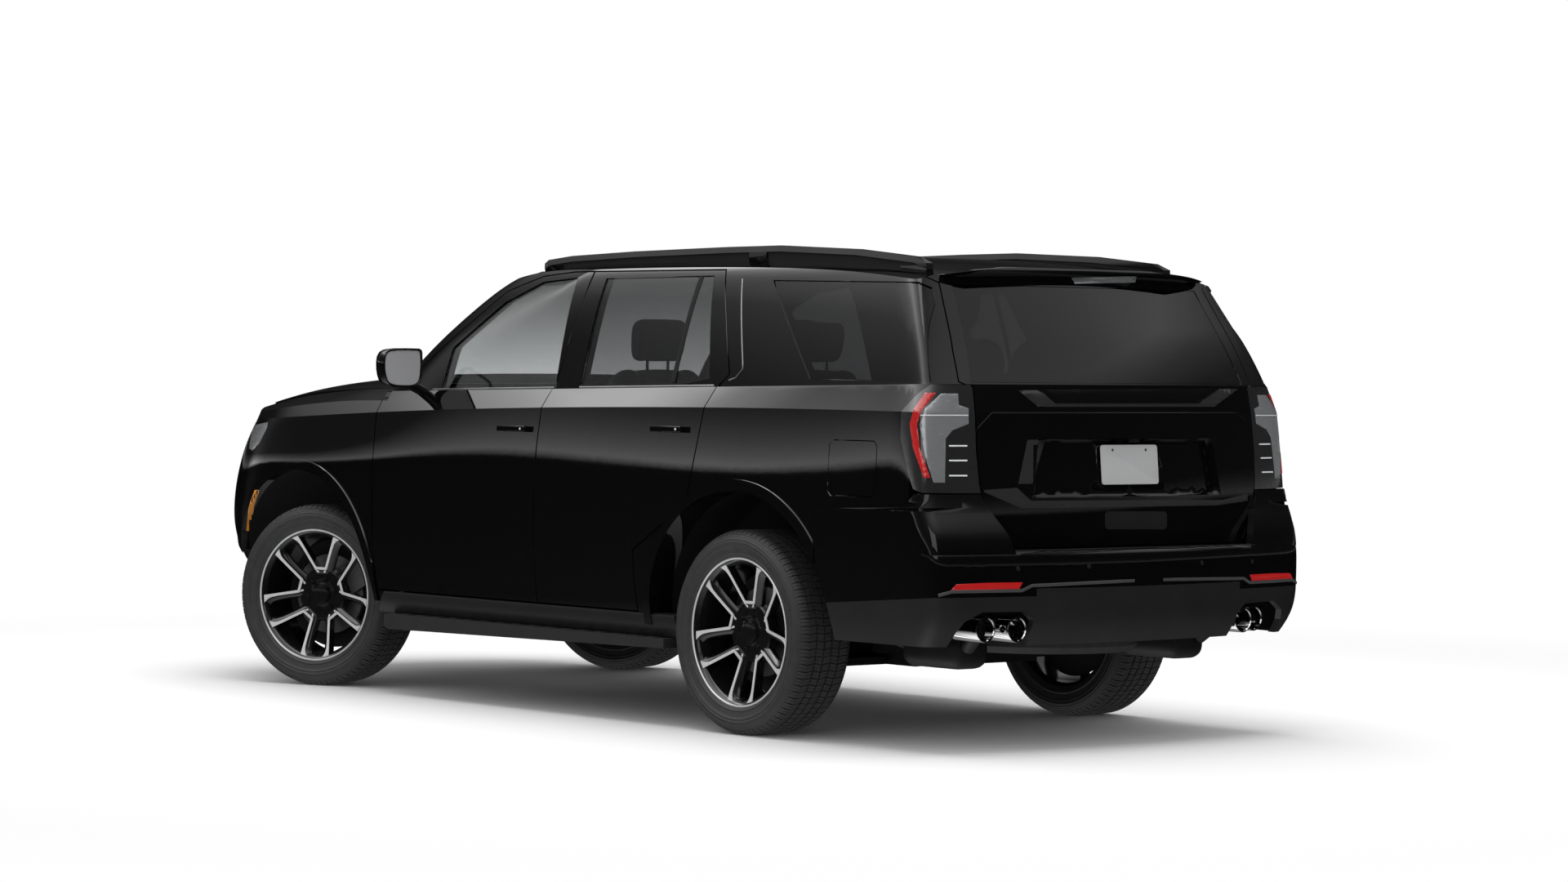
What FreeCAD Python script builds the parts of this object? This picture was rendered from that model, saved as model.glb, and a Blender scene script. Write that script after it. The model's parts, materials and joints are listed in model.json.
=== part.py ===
import FreeCAD, Part
import Sketcher
import math
import os
import re

# Full-size sport utility vehicle, parked with its front wheels turned to the left.
# Frame: +X forward, +Y to the left, +Z up, millimetres, origin on the floor at the middle.

V = FreeCAD.Vector
DOC = FreeCAD.newDocument("SportUtility")

# Driving dimensions. Each has one named cell, bound into the pieces below.
SIZES = {
    "overall_length": (5352, "front bumper to rear bumper"),
    "rear_overhang": (1271, "rear axle to rear end"),
    "wheelbase": (3071, "between the axles"),
    "half_width": (1022, "middle to the widest body side"),
    "roof_crown": (1896, "highest point of the roof panel"),
    "belt_height": (1336, "foot of the windows at the middle of the length"),
    "belt_slope": (0.02, "fall of the belt line towards the front"),
    "half_track": (869, "middle to the wheel centre plane"),
    "kingpin_offset": (795, "middle to the steering axis"),
    "rest_steer": (21.3, "angle of the front wheels as parked, to the left"),
    "tyre_radius": (402, "tyre, also the height of the hubs"),
    "tyre_width": (276, "tyre section"),
    "rim_radius": (279, "seat of the tyre bead"),
    "rim_width": (232, "between the rim's edges"),
    "rim_face": (118, "wheel centre plane to the rim's outer edge"),
    "spoke_count": (5, "pairs of spokes"),
    "hub_bore": (36, "radius of the bore that turns on the spindle"),
    "bearing_gap": (0.2, "clearance of the spindle in the hub's bore"),
    "disc_radius": (178, "brake disc"),
    "arch_radius": (556, "wheel arch opening about the hub"),
    "arch_depth": (470, "depth of the wheel arches from the side"),
    "shut_gap": (6, "gap between panels"),
    "pillar_gap": (9, "gap between the window frames at the middle pillar"),
    "door_wall": (112, "thickness of the doors and body sides under the belt"),
    "frame_wall": (46, "thickness of the window frames and roof"),
    "panel_wall": (26, "thickness of hood, fenders and bumpers"),
    "glass_wall": (5, "thickness of the glass"),
    "glass_depth": (6, "glass behind the outer skin"),
    "fit": (0.3, "clearance between pieces that seat on each other"),
    "front_door_setback": (585, "front axle to the front door's front edge"),
    "front_door_length": (1176, "front door along the sill"),
    "door_foot": (455, "lower edge of the doors"),
    "floor_height": (500, "top of the floor pan"),
    "floor_wall": (14, "thickness of the floor pan"),
    "rail_height": (130, "frame rail section, upright"),
    "rail_width": (85, "frame rail section, across"),
    "rail_top": (480, "top of the frame rails"),
    "rail_offset": (480, "middle to the centre of a rear frame rail"),
    "front_rail_offset": (400, "middle to the centre of a frame rail at the engine"),
    "rail_sweep": (24, "bar of the roof rails, half its thickness"),
}

SHEET = DOC.addObject("Spreadsheet::Sheet", "Sizes")
for row, (alias, (number, meaning)) in enumerate(SIZES.items(), start=1):
    SHEET.set(f"A{row}", str(number))
    SHEET.setAlias(f"A{row}", alias)
    SHEET.set(f"B{row}", meaning)
DOC.recompute()


def bound(text):
    """The expression with each size's name pointing at its cell."""
    return re.sub(r"[a-z_]{3,}", lambda m: "Sizes." + m.group(0) if m.group(0) in SIZES else m.group(0), text)


def size(text):
    """The number that an expression of named sizes gives."""
    return float(SHEET.evalExpression(bound(str(text))))


# Places along the length, all from the driving dimensions.
REAR_AXLE = "(rear_overhang - overall_length / 2)"
FRONT_AXLE = f"({REAR_AXLE} + wheelbase)"
FRONT_DOOR = f"({FRONT_AXLE} - front_door_setback)"
MIDDLE_POST = f"({FRONT_DOOR} - front_door_length)"

rear_axle = size(REAR_AXLE)
front_axle = size(FRONT_AXLE)
half_length = size("overall_length / 2")
half_width = size("half_width")
hub_height = size("tyre_radius")
belt_height = size("belt_height")
belt_slope = size("belt_slope")

NODES = {}


def keep(label, thing):
    """Names a finished sub-part and puts it on the list that is written out."""
    thing.Label = label
    NODES[label] = thing
    return thing


# Helpers for parametric pieces.

def origin_plane(body, role):
    """One of the body's own origin planes."""
    return [f for f in body.Origin.OriginFeatures if f.Role == role][0]


def sketch_on(body, role, name, offset=None):
    """An empty sketch on an origin plane of the body, moved along its normal."""
    sketch = body.newObject("Sketcher::SketchObject", name)
    sketch.AttachmentSupport = [(origin_plane(body, role), "")]
    sketch.MapMode = "FlatFace"
    if offset is not None:
        sketch.setExpression("AttachmentOffset.Base.z", bound(offset))
    return sketch


def draw_outline(sketch, points):
    """A closed outline of straight lines whose corners are bound to the sizes."""
    corners = [(size(x), size(y)) for x, y in points]
    first = sketch.GeometryCount
    count = len(corners)
    for i in range(count):
        start = V(corners[i][0], corners[i][1], 0)
        end = V(corners[(i + 1) % count][0], corners[(i + 1) % count][1], 0)
        sketch.addGeometry(Part.LineSegment(start, end), False)
    for i in range(count):
        sketch.addConstraint(Sketcher.Constraint("Coincident", first + i, 2, first + (i + 1) % count, 1))
    for i, (x, y) in enumerate(points):
        for kind, text, value in (("DistanceX", x, corners[i][0]), ("DistanceY", y, corners[i][1])):
            number = sketch.addConstraint(Sketcher.Constraint(kind, -1, 1, first + i, 1, value))
            sketch.setExpression(f"Constraints[{number}]", bound(str(text)))


def draw_circle(sketch, x, y, radius):
    """A circle bound to the sizes."""
    number = sketch.addGeometry(Part.Circle(V(size(x), size(y), 0), V(0, 0, 1), size(radius)), False)
    for kind, text in (("DistanceX", x), ("DistanceY", y)):
        c = sketch.addConstraint(Sketcher.Constraint(kind, -1, 1, number, 3, size(text)))
        sketch.setExpression(f"Constraints[{c}]", bound(str(text)))
    c = sketch.addConstraint(Sketcher.Constraint("Radius", number, size(radius)))
    sketch.setExpression(f"Constraints[{c}]", bound(str(radius)))


def slab(name, view, points, low, high, holes=()):
    """A padded outline. view side: points are (x, z), low and high are y.
    view top: points are (x, y), low and high are z. view front: points are (y, z), low and high are x."""
    role = {"side": "XZ_Plane", "top": "XY_Plane", "front": "YZ_Plane"}[view]
    body = DOC.addObject("PartDesign::Body", name)
    offset = f"-({high})" if view == "side" else f"{low}"
    sketch = sketch_on(body, role, name + "Outline", offset)
    draw_outline(sketch, points)
    for x, y, radius in holes:
        draw_circle(sketch, x, y, radius)
    pad = body.newObject("PartDesign::Pad", name + "Pad")
    pad.Profile = sketch
    pad.setExpression("Length", bound(f"({high}) - ({low})"))
    sketch.Visibility = False
    return body


def turned(name, points, axis="V_Axis"):
    """A solid of revolution: points are (radius, along), turned about the world's Z axis."""
    body = DOC.addObject("PartDesign::Body", name)
    sketch = sketch_on(body, "XZ_Plane", name + "Profile")
    draw_outline(sketch, points)
    spin = body.newObject("PartDesign::Revolution", name + "Turn")
    spin.Profile = sketch
    spin.ReferenceAxis = (sketch, [axis])
    spin.Angle = 360
    return body


def rod(name, radius, low, high, place=None):
    """A cylinder along its own Z from low to high, then placed."""
    item = DOC.addObject("Part::Cylinder", name)
    item.setExpression("Radius", bound(str(radius)))
    item.setExpression("Height", bound(f"({high}) - ({low})"))
    lift = FreeCAD.Placement(V(0, 0, size(low)), FreeCAD.Rotation())
    item.Placement = place.multiply(lift) if place else lift
    return item


def across(x, y, z):
    """A place whose own Z axis points to the left."""
    return FreeCAD.Placement(V(x, y, z), FreeCAD.Rotation(V(0, 0, 1), V(0, 1, 0)))


def along(x, y, z):
    """A place whose own Z axis points forward."""
    return FreeCAD.Placement(V(x, y, z), FreeCAD.Rotation(V(0, 0, 1), V(1, 0, 0)))


def box(name, corner, sides, place=None):
    """A box from its low corner and its three sides, each an expression of the sizes."""
    item = DOC.addObject("Part::Box", name)
    for key, text in zip(("Length", "Width", "Height"), sides):
        item.setExpression(key, bound(str(text)))
    shift = FreeCAD.Placement(V(*[size(c) for c in corner]), FreeCAD.Rotation())
    item.Placement = place.multiply(shift) if place else shift
    return item


def join(name, *items):
    """One solid, or one set of solids, from pieces that meet."""
    item = DOC.addObject("Part::MultiFuse", name)
    item.Shapes = list(items)
    return item


def overlap(name, base, tool):
    """What two shapes share."""
    item = DOC.addObject("Part::Common", name)
    item.Base = base
    item.Tool = tool
    return item


def cut(name, base, *tools):
    """The base with each tool taken away."""
    for number, tool in enumerate(tools):
        item = DOC.addObject("Part::Cut", f"{name}Cut{number}")
        item.Base = base
        item.Tool = tool
        base = item
    return base


def group(name, *items):
    """Several solids that don't touch, kept as one set."""
    item = DOC.addObject("Part::Compound", name)
    item.Links = list(items)
    return item


def other_side(name, item):
    """The mirror image on the right side of the vehicle."""
    mirror = DOC.addObject("Part::Mirroring", name)
    mirror.Source = item
    mirror.Normal = V(0, 1, 0)
    return mirror


def both(name, item):
    """The piece and its mirror image."""
    return group(name, item, other_side(name + "Right", item))


def free_form(name, shape):
    """A free-form shape that has no sketch, kept in the document."""
    item = DOC.addObject("Part::Feature", name)
    item.Shape = shape
    item.Placement = FreeCAD.Placement()
    return item


# The free-form outer skin. Each ring is half a plan view of the body, from the middle of
# the tail round the left side to the middle of the nose, as control points.

def even_knots(count, degree):
    """Clamped, evenly spaced knots for a number of control points."""
    inner = count - degree - 1
    knots = [i / (inner + 1) for i in range(inner + 2)]
    return knots, [degree + 1] + [1] * inner + [degree + 1]


def smooth_line(points, degree=3):
    """A curve that follows control points."""
    knots, repeats = even_knots(len(points), degree)
    curve = Part.BSplineCurve()
    curve.buildFromPolesMultsKnots(points, repeats, knots, False, degree)
    return curve.toShape()


def smooth_face(rows, degree_up, degree_round=3):
    """A surface that follows rows of control points."""
    columns = [[row[i] for row in rows] for i in range(len(rows[0]))]
    round_knots, round_repeats = even_knots(len(columns), degree_round)
    up_knots, up_repeats = even_knots(len(rows), degree_up)
    skin = Part.BSplineSurface()
    skin.buildFromPolesMultsKnots(
        columns, round_repeats, up_repeats, round_knots, up_knots, False, False, degree_round, degree_up
    )
    return skin.toShape()


def closed_skin(bands):
    """A solid from bands of rings, bottom to top. A band is (rings, degree); a ring is a list of
    control points of the left half, and bands share the ring where they meet."""
    faces = []
    ends = []
    for side in (1, -1):
        flip = [([[V(p.x, p.y * side, p.z) for p in ring] for ring in rings], degree) for rings,
                degree in bands]
        for rings, degree in flip:
            faces.append(smooth_face(rings, degree))
        ends.append((smooth_line(flip[0][0][0]), smooth_line(flip[-1][0][-1])))
    for which in (0, 1):
        faces.append(Part.Face(Part.Wire([ends[0][which], ends[1][which]])))
    shell = Part.makeShell(faces)
    shell.sewShape()
    solid = Part.Solid(shell)
    if solid.Volume < 0:
        solid.reverse()
    return solid


def belt_plane(drop=0.0):
    """Height of the belt line as a function of x, lowered by drop."""
    return lambda x: belt_height - belt_slope * x - drop


def crease_line(x):
    """Height of the shoulder crease, an arc that falls towards the nose."""
    return belt_height - 74 - 0.0263 * x - 7.8e-6 * x * x


def flat(height):
    """A level ring."""
    return lambda x: height


def low_ring(height, tail, tail_half, rear, middle, front, nose, round_nose, short, inset=0.0):
    """Half a plan view of the lower body. tail and nose are measured from the ends of the vehicle,
    and rear, middle and front are measured in from the widest side."""
    back = -half_length + tail + inset
    tip = half_length - nose - inset
    rear_y, middle_y, front_y = [half_width - w - inset for w in (rear, middle, front)]
    corner_y = tail_half - inset
    plan = [
        (back, 0),
        (back, 250),
        (back + 70, 700),
        (back + 112, corner_y - 62),
        (back + 150, corner_y),
        (back + 270, corner_y + 3),
        (rear_axle, rear_y),
        (-100, middle_y),
        (900, middle_y - 2),
        (front_axle, front_y),
        (tip - 590 * short, front_y - 10),
        (tip - 400 * short, (975 - inset) * round_nose),
        (tip - 235, (850 - inset) * round_nose),
        (tip - 80, 560 * round_nose),
        (tip, 250),
        (tip, 0),
    ]
    return [V(x, y, height(x)) for x, y in plan]


def lower_body(inset=0.0, foot=400):
    """The body from the sills to just over the belt line, with the crease along its shoulder."""
    rings = [
        low_ring(flat(foot), 84, 965, 50, 46, 50, 206, 0.93, 0.95, inset),
        low_ring(flat(520), 74, 985, 18, 16, 18, 86, 0.98, 1.0, inset),
        low_ring(flat(640), 69, 990, 6, 4, 8, 4, 1.0, 1.0, inset),
        low_ring(flat(800), 70, 992, -2, 0, 1, -2, 1.0, 1.0, inset),
        low_ring(flat(950), 76, 990, -1, 0, 3, 36, 1.0, 1.0, inset),
        low_ring(flat(1080), 87, 986, 7, 6, 12, 105, 0.98, 0.9, inset),
        low_ring(crease_line, 108, 976, 20, 17, 36, 176, 0.96, 0.85, inset),
    ]
    shoulder = [
        rings[-1],
        low_ring(belt_plane(), 127, 938, 68, 65, 92, 196, 0.91, 0.85, inset),
        low_ring(belt_plane(-90), 146, 884, 122, 119, 152, 226, 0.85, 0.85, inset),
    ]
    return closed_skin([(rings, 3), (shoulder, 1)])


def top_ring(level, slope, tail, drop, tail_half, rear, middle, post_x, post_y, glass_x, inset=0.0):
    """Half a plan view of the cabin above the belt. tail is measured from the rear end, post is
    the corner of the windscreen, and glass_x is the middle of the windscreen."""
    back = -half_length + tail + inset
    side = tail_half - inset
    x_post = front_axle + post_x - inset
    x_glass = front_axle + glass_x - inset
    plan = [
        (back, 0),
        (back, 230),
        (back + drop * 0.6, 620),
        (back + drop, side - 38),
        (back + drop + 25, side),
        (back + drop + 90, side),
        (rear_axle, rear - inset),
        (-100, middle - inset),
        (x_post - 560, middle - 4 - inset),
        (x_post - 250, post_y + (middle - post_y) * 0.62 - inset),
        (x_post - 30, post_y + 22 - inset),
        (x_post + 30, post_y - 60 - inset),
        (x_post + (x_glass - x_post) * 0.75, post_y * 0.5),
        (x_glass, 230),
        (x_glass, 0),
    ]
    return [V(x, y, level - slope * x) for x, y in plan]


def cabin_top(inset=0.0, drop=6.0):
    """The cabin from under the belt line to over the roof."""
    rings = [
        top_ring(belt_height - drop, belt_slope, 141, 105, 926, 942, 946, -500, 868, -376, inset),
        top_ring(1481, 0.013, 204, 95, 890, 902, 908, -684, 842, -556, inset),
        top_ring(1676, 0.006, 330, 70, 832, 844, 850, -957, 772, -826, inset),
        top_ring(1800, 0.0, 410, 50, 790, 798, 800, -1170, 722, -1060, inset),
        top_ring(1856, 0.0, 448, 45, 760, 768, 770, -1370, 692, -1290, inset),
        top_ring(1920, 0.0, 480, 40, 700, 708, 710, -1640, 630, -1560, inset),
    ]
    return closed_skin([(rings, 2)])


def crown_solid(stations, drops):
    """Everything under a crowned surface. A station is (x, height at the middle), and drops are
    pairs of (y, fall from the middle)."""
    rows = []
    for x, height in stations:
        half = [(y, height - fall) for y, fall in drops]
        row = [V(x, -y, z) for y, z in reversed(half)] + [V(x, 0, height)] + [V(x, y, z) for y, z in half]
        rows.append(row)
    top = smooth_face(rows, 2)
    floor_z = 150
    edge = Part.Wire(top.OuterWire.Edges)
    low_x, high_x = stations[0][0], stations[-1][0]
    width = drops[-1][0]
    base = Part.makePlane(high_x - low_x, 2 * width, V(low_x, -width, floor_z))
    walls = []
    ground = {}
    for e in edge.Edges:
        ends = [v.Point for v in e.Vertexes]
        feet = [V(p.x, p.y, floor_z) for p in ends]
        line = Part.LineSegment(feet[0], feet[1]).toShape()
        ground[len(ground)] = line
        walls.append(Part.Face(Part.Wire([
            e,
            Part.LineSegment(ends[1], feet[1]).toShape(),
            line,
            Part.LineSegment(feet[0], ends[0]).toShape(),
        ])))
    shell = Part.makeShell([top, base] + walls)
    shell.sewShape()
    solid = Part.Solid(shell)
    if solid.Volume < 0:
        solid.reverse()
    return solid


crown = size("roof_crown")
ROOF_STATIONS = [
    (-half_length - 200, crown - 110),
    (-half_length + 300, crown - 72),
    (-half_length + 900, crown - 14),
    (-900, crown + 2),
    (0, crown - 2),
    (360, crown - 26),
    (700, crown - 110),
    (1400, crown - 420),
]
ROOF_DROPS = [(250, 0), (600, 14), (800, 60), (1200, 160)]
HOOD_STATIONS = [
    (900, 1402),
    (1150, 1398),
    (1450, 1386),
    (1900, 1350),
    (2250, 1290),
    (2420, 1246),
    (2560, 1170),
    (2900, 980),
]
HOOD_DROPS = [(250, 0), (560, 6), (760, 26), (900, 88), (1200, 240)]

FAR = 3000.0
CEILING = 2200.0
post_x = size(FRONT_DOOR)
door_wall = size("door_wall")
frame_wall = size("frame_wall")
panel_wall = size("panel_wall")
gap = size("shut_gap")
bulkhead_back = post_x + 3
bulkhead_front = post_x + 37
cowl_underside = belt_height - 66


def block(x, y, z):
    """A box between pairs of limits."""
    return Part.makeBox(x[1] - x[0], y[1] - y[0], z[1] - z[0], V(x[0], y[0], z[0]))


def side_prism(points, low=0.0, high=1300.0):
    """A side outline of (x, z) pulled from y low to y high."""
    corners = [V(x, low, z) for x, z in points]
    return Part.Face(Part.makePolygon(corners + corners[:1])).extrude(V(0, high - low, 0))


def top_prism(points, low=0.0, high=CEILING):
    """A plan outline of (x, y) pulled from z low to z high."""
    corners = [V(x, y, low) for x, y in points]
    return Part.Face(Part.makePolygon(corners + corners[:1])).extrude(V(0, 0, high - low))


def end_prism(points, low, high):
    """An end view outline of (y, z) pulled from x low to x high."""
    corners = [V(low, y, z) for y, z in points]
    return Part.Face(Part.makePolygon(corners + corners[:1])).extrude(V(high - low, 0, 0))


def grown(points, amount):
    """The outline with every edge moved out by amount."""
    face = Part.Face(Part.makePolygon([V(x, y, 0) for x, y in list(points) + [points[0]]]))
    wider = face.makeOffset2D(amount, 2)
    return [(v.Point.x, v.Point.y) for v in wider.OuterWire.OrderedVertexes]


def mirrored(points):
    """An outline of the left half in an end or plan view, closed by its mirror image."""
    return list(points) + [(-y, z) for y, z in reversed(points)]


# The hood's plan outline, left half as (x, y), from its middle at the back to the nose.
HOOD_BACK = [(post_x + 254, 0), (post_x + 240, 330), (post_x + 195, 620), (post_x + 98, 846)]
HOOD_SIDE = [(1450, 838), (1900, 806), (2250, 752), (2440, 690), (2900, 660)]
hood_lip = 1172


def hood_plan(back=0.0, side=0.0):
    """The hood's outline in plan, moved in by back and side."""
    half = [(x + back, y) for x, y in HOOD_BACK[:-1]]
    half.append((HOOD_BACK[-1][0] + back, HOOD_BACK[-1][1] - side))
    half += [(x, y - side) for x, y in HOOD_SIDE]
    return half[1:] + [(x, -y) for x, y in reversed(half[1:])]


def roof_solid(drop):
    """Everything under the roof's crown."""
    return crown_solid([(x, z - drop) for x, z in ROOF_STATIONS], ROOF_DROPS)


def hood_solid(drop):
    """Everything under the hood's crown."""
    return crown_solid([(x, z - drop) for x, z in HOOD_STATIONS], HOOD_DROPS)


def over_belt(drop=0.0):
    """Everything over the belt line."""
    height = belt_plane(drop)
    return side_prism([(-FAR, height(-FAR)), (FAR, height(FAR)), (FAR, CEILING), (-FAR, CEILING)], -FAR, FAR)


split_x = post_x - 40
ahead = block((split_x, FAR), (-FAR, FAR), (0, CEILING))


def outer_skin():
    """The whole closed outer form."""
    lower = lower_body()
    rear_part = lower.cut(over_belt()).cut(ahead)
    front_part = lower.common(ahead).common(hood_solid(0))
    top = cabin_top().common(roof_solid(0))
    return rear_part.fuse([front_part, top])


def cabin_space():
    """The hollow of the cabin and load space."""
    lower = lower_body(door_wall, 360).cut(over_belt(4))
    lower = lower.cut(block((bulkhead_back, FAR), (-FAR, FAR), (0, CEILING)))
    top = cabin_top(frame_wall, 8.0).common(roof_solid(frame_wall))
    return lower.fuse(top)


def engine_space():
    """The hollow under the hood."""
    front = block((bulkhead_front, FAR), (-FAR, FAR), (0, CEILING))
    lower = lower_body(panel_wall, 360).common(front)
    deep = lower.common(block((bulkhead_front, FAR), (-FAR, FAR), (0, cowl_underside)))
    shallow = lower.common(top_prism(hood_plan(24, 24))).common(hood_solid(panel_wall))
    return deep.common(hood_solid(panel_wall)).fuse(shallow)


whole = outer_skin()
cabin_hollow = cabin_space()
shell = whole.cut(cabin_hollow).cut(engine_space())

# Door and window outlines on the left side, as (x, z).
door_foot = size("door_foot")
rear_post = size(MIDDLE_POST)
pillar_gap = size("pillar_gap")
door_top = 1824


def on_belt(x, rise=0.0):
    """A point on the belt line."""
    return (x, belt_height - belt_slope * x + rise)


FRONT_DOOR_LINE = [
    (post_x, door_foot),
    (post_x, 1292),
    (post_x - 34, 1336),
    (900, 1430),
    (742, 1535),
    (428, 1746),
    (190, 1808),
    (-40, door_top),
    (rear_post - 92, door_top),
    (rear_post - 35, 1345),
    (rear_post - 6, 1093),
    (rear_post + 8, door_foot),
]
REAR_DOOR_LINE = [
    (rear_post + 8 - gap, door_foot),
    (rear_post - 6 - gap, 1093),
    (rear_post - 35 - gap, 1345),
    (rear_post - 92 - pillar_gap, door_top),
    (-1052, door_top),
    (-1252, 1412),
    (-1209, 1372),
    (-1139, 1061),
    (-1100, 900),
]
flare_width = 44
door_arch = size("arch_radius") + flare_width + gap
FRONT_GLASS_LINE = [
    on_belt(696, 6),
    (700, 1505),
    (404, 1703),
    (166, 1788),
    (-88, 1803),
    on_belt(-134, 6),
]
REAR_GLASS_LINE = [
    on_belt(-298, 6),
    (-288, 1798),
    (-992, 1804),
    (-1136, 1392),
    on_belt(-930, 6),
]
QUARTER_GLASS_LINE = [(-1744, 1396), (-1371, 1783), (-2244, 1770), (-2412, 1393)]
FUEL_LINE = [(-1950, 975), (-1966, 958), (-2196, 958), (-2213, 975), (-2213, 1148), (-2196, 1165),
             (-1966, 1165),
             (-1950, 1148)]


def arch(axle, radius, low=-10.0, high=1300.0):
    """A wheel arch: everything within a radius of the hub's axis, open below."""
    drum = Part.makeCylinder(radius, high - low, V(axle, low, hub_height), V(0, 1, 0))
    return drum.fuse(block((axle - radius, axle + radius), (low, high), (-50, hub_height)))


def relief(stations, slope=0.26, reach=420, far=200):
    """Wedges that lean a door's rear face, so that its inner corner clears as it swings.
    A station is (x, z, y of the skin there)."""
    wedges = []
    for (x0, z0, y0), (x1, z1, y1) in zip(stations, stations[1:]):
        outer = [V(x0, y0, z0), V(x0 - far, y0, z0), V(x1 - far, y1, z1), V(x1, y1, z1)]
        inner = [
            V(x0 + slope * reach, y0 - reach, z0),
            V(x0 - far, y0 - reach, z0),
            V(x1 - far, y1 - reach, z1),
            V(x1 + slope * reach, y1 - reach, z1),
        ]
        wires = [Part.makePolygon(wire + wire[:1]) for wire in (outer, inner)]
        wedges.append(Part.makeLoft(wires, True, True))
    return wedges


def window(line, grow=0.0):
    """The opening for a pane of side glass."""
    return side_prism(grown(line, grow) if grow else line, 500, 1100)


def main_solids(shape, least=1e5):
    """The shape's solids without the slivers that a cut along a shared edge leaves."""
    kept = [s for s in shape.Solids if s.Volume > least]
    return kept[0] if len(kept) == 1 else Part.makeCompound(kept)


def band(outer, inner, top_outer=None, top_inner=None, rise=-4.0):
    """A layer of the left body side between two depths, under and over the belt line."""
    low = lower_body(outer, 360).cut(lower_body(inner, 340)).cut(over_belt(-rise))
    if top_outer is None:
        return low
    high = cabin_top(top_outer, 8.0).cut(cabin_top(top_inner, 9.0)).common(roof_solid(frame_wall + fit))
    return low.fuse(high)


def pane(zone, depth=None):
    """The glass that fills an opening, at a depth behind the cabin's outer skin."""
    depth = glass_depth if depth is None else depth
    return cabin_top(depth).common(zone).cut(cabin_top(depth + glass_wall, 9.0))


def flare(axle):
    """The raised lip of a wheel arch on the left side."""
    lip = 9
    ring = arch(axle, arch_radius + flare_width, half_width - 60, half_width + 40)
    ring = ring.cut(arch(axle, arch_radius, 0))
    ring = ring.common(lower_body(-lip, 402).cut(lower_body(panel_wall - 2, 380)))
    return ring.common(block((-FAR, FAR), (0, FAR), (402, 1100)))


glass_wall = size("glass_wall")
glass_depth = size("glass_depth")
arch_radius = size("arch_radius")

fit = size("fit")

# The roof, which caps the doors, and the openings that the other panels share.
roof_edge = 747
roof_lip = door_top + gap
roof_back = -half_length + 467
ROOF_SECTION = [
    (-900, roof_lip),
    (-roof_edge, roof_lip),
    (-roof_edge, 1770),
    (roof_edge, 1770),
    (roof_edge, roof_lip),
    (900, roof_lip),
    (900, CEILING),
    (-900, CEILING),
]
WINDSCREEN_HALF = [(812, 1347), (664, 1800), (636, 1836)]
windscreen_zone = end_prism(mirrored(WINDSCREEN_HALF), 0, FAR)
roof_zone = end_prism(ROOF_SECTION, roof_back + gap, 900)
roof_clearance = end_prism(grown(ROOF_SECTION, gap - 0.5), roof_back, 900)
roof = main_solids(shell.common(roof_zone).cut(windscreen_zone))

# Doors of the left side.


def leaned_edge(points):
    """The stations of a door's rear edge: its (x, z) outline with the skin's y at each height."""
    return [(x, z, y) for (x, z), y in points]


FRONT_DOOR_REAR = leaned_edge([
    ((rear_post + 8, door_foot - 60), 1020),
    ((rear_post - 6, 1093), 1020),
    ((rear_post - 25.5, 1262), 1004),
    ((rear_post - 35, 1345), 944),
    ((rear_post - 92, door_top), 794),
    ((rear_post - 98, door_top + 60), 776),
])
REAR_DOOR_REAR_LOW = leaned_edge([((-1100, 880), 1018), ((-1139, 1061), 1018), ((-1185, 1262), 1002),
                                  ((-1210, 1376), 950)])
REAR_DOOR_REAR_HIGH = leaned_edge([((-1272, 1376), 940), ((-1252, 1412), 928), ((-1052, door_top), 792),
                                   ((-1024, 1884), 774)])
REAR_DOOR_PLAN = REAR_DOOR_LINE + [(-760, 700), (-760, door_foot)]

front_door = shell.common(side_prism(FRONT_DOOR_LINE, 500)).cut(roof_clearance)
front_door = front_door.cut(relief(FRONT_DOOR_REAR))
front_door = front_door.cut(window(FRONT_GLASS_LINE))
rear_door = shell.common(side_prism(REAR_DOOR_PLAN, 500)).cut(roof_clearance)
rear_door = rear_door.cut(arch(rear_axle, door_arch))
rear_door = rear_door.cut(relief(REAR_DOOR_REAR_LOW) + relief(REAR_DOOR_REAR_HIGH))
rear_door = rear_door.cut(window(REAR_GLASS_LINE))


def handle(x, z):
    """A pull handle that stands off the door's skin on two feet."""
    length, depth, height = 196, 15, 24
    bar = Part.makeBox(length, depth, height, V(x - length / 2, half_width - 1, z - height / 2))
    bar = bar.makeFillet(6, [e for e in bar.Edges if abs(e.Length - length) < 1 or abs(e.Length - height) < 1])
    feet = [Part.makeBox(26, 40, 18, V(x + s * 78 - 13, half_width - 34, z - 9)) for s in (-1, 1)]
    return bar.fuse(feet)


front_door = main_solids(front_door.fuse(handle(52, 1172)))
rear_door = main_solids(rear_door.fuse(handle(-984, 1190)))
front_door_glass = pane(side_prism(grown(FRONT_GLASS_LINE, -fit), 500, 1100))
rear_door_glass = pane(side_prism(grown(REAR_GLASS_LINE, -fit), 500, 1100))

# The mirror stands on the front door, under the foot of its window.
mirror_head = Part.makeBox(92, 182, 158, V(750, half_width - 12, 1344))
mirror_head = mirror_head.makeFillet(26, mirror_head.Edges)
mirror_foot = top_prism([(770, 940), (816, 940), (822, 1060), (776, 1060)], 1296, 1356)
mirror = mirror_head.fuse(mirror_foot).cut(lower_body(-fit)).cut(cabin_top(-fit))
mirror = main_solids(mirror)

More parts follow.
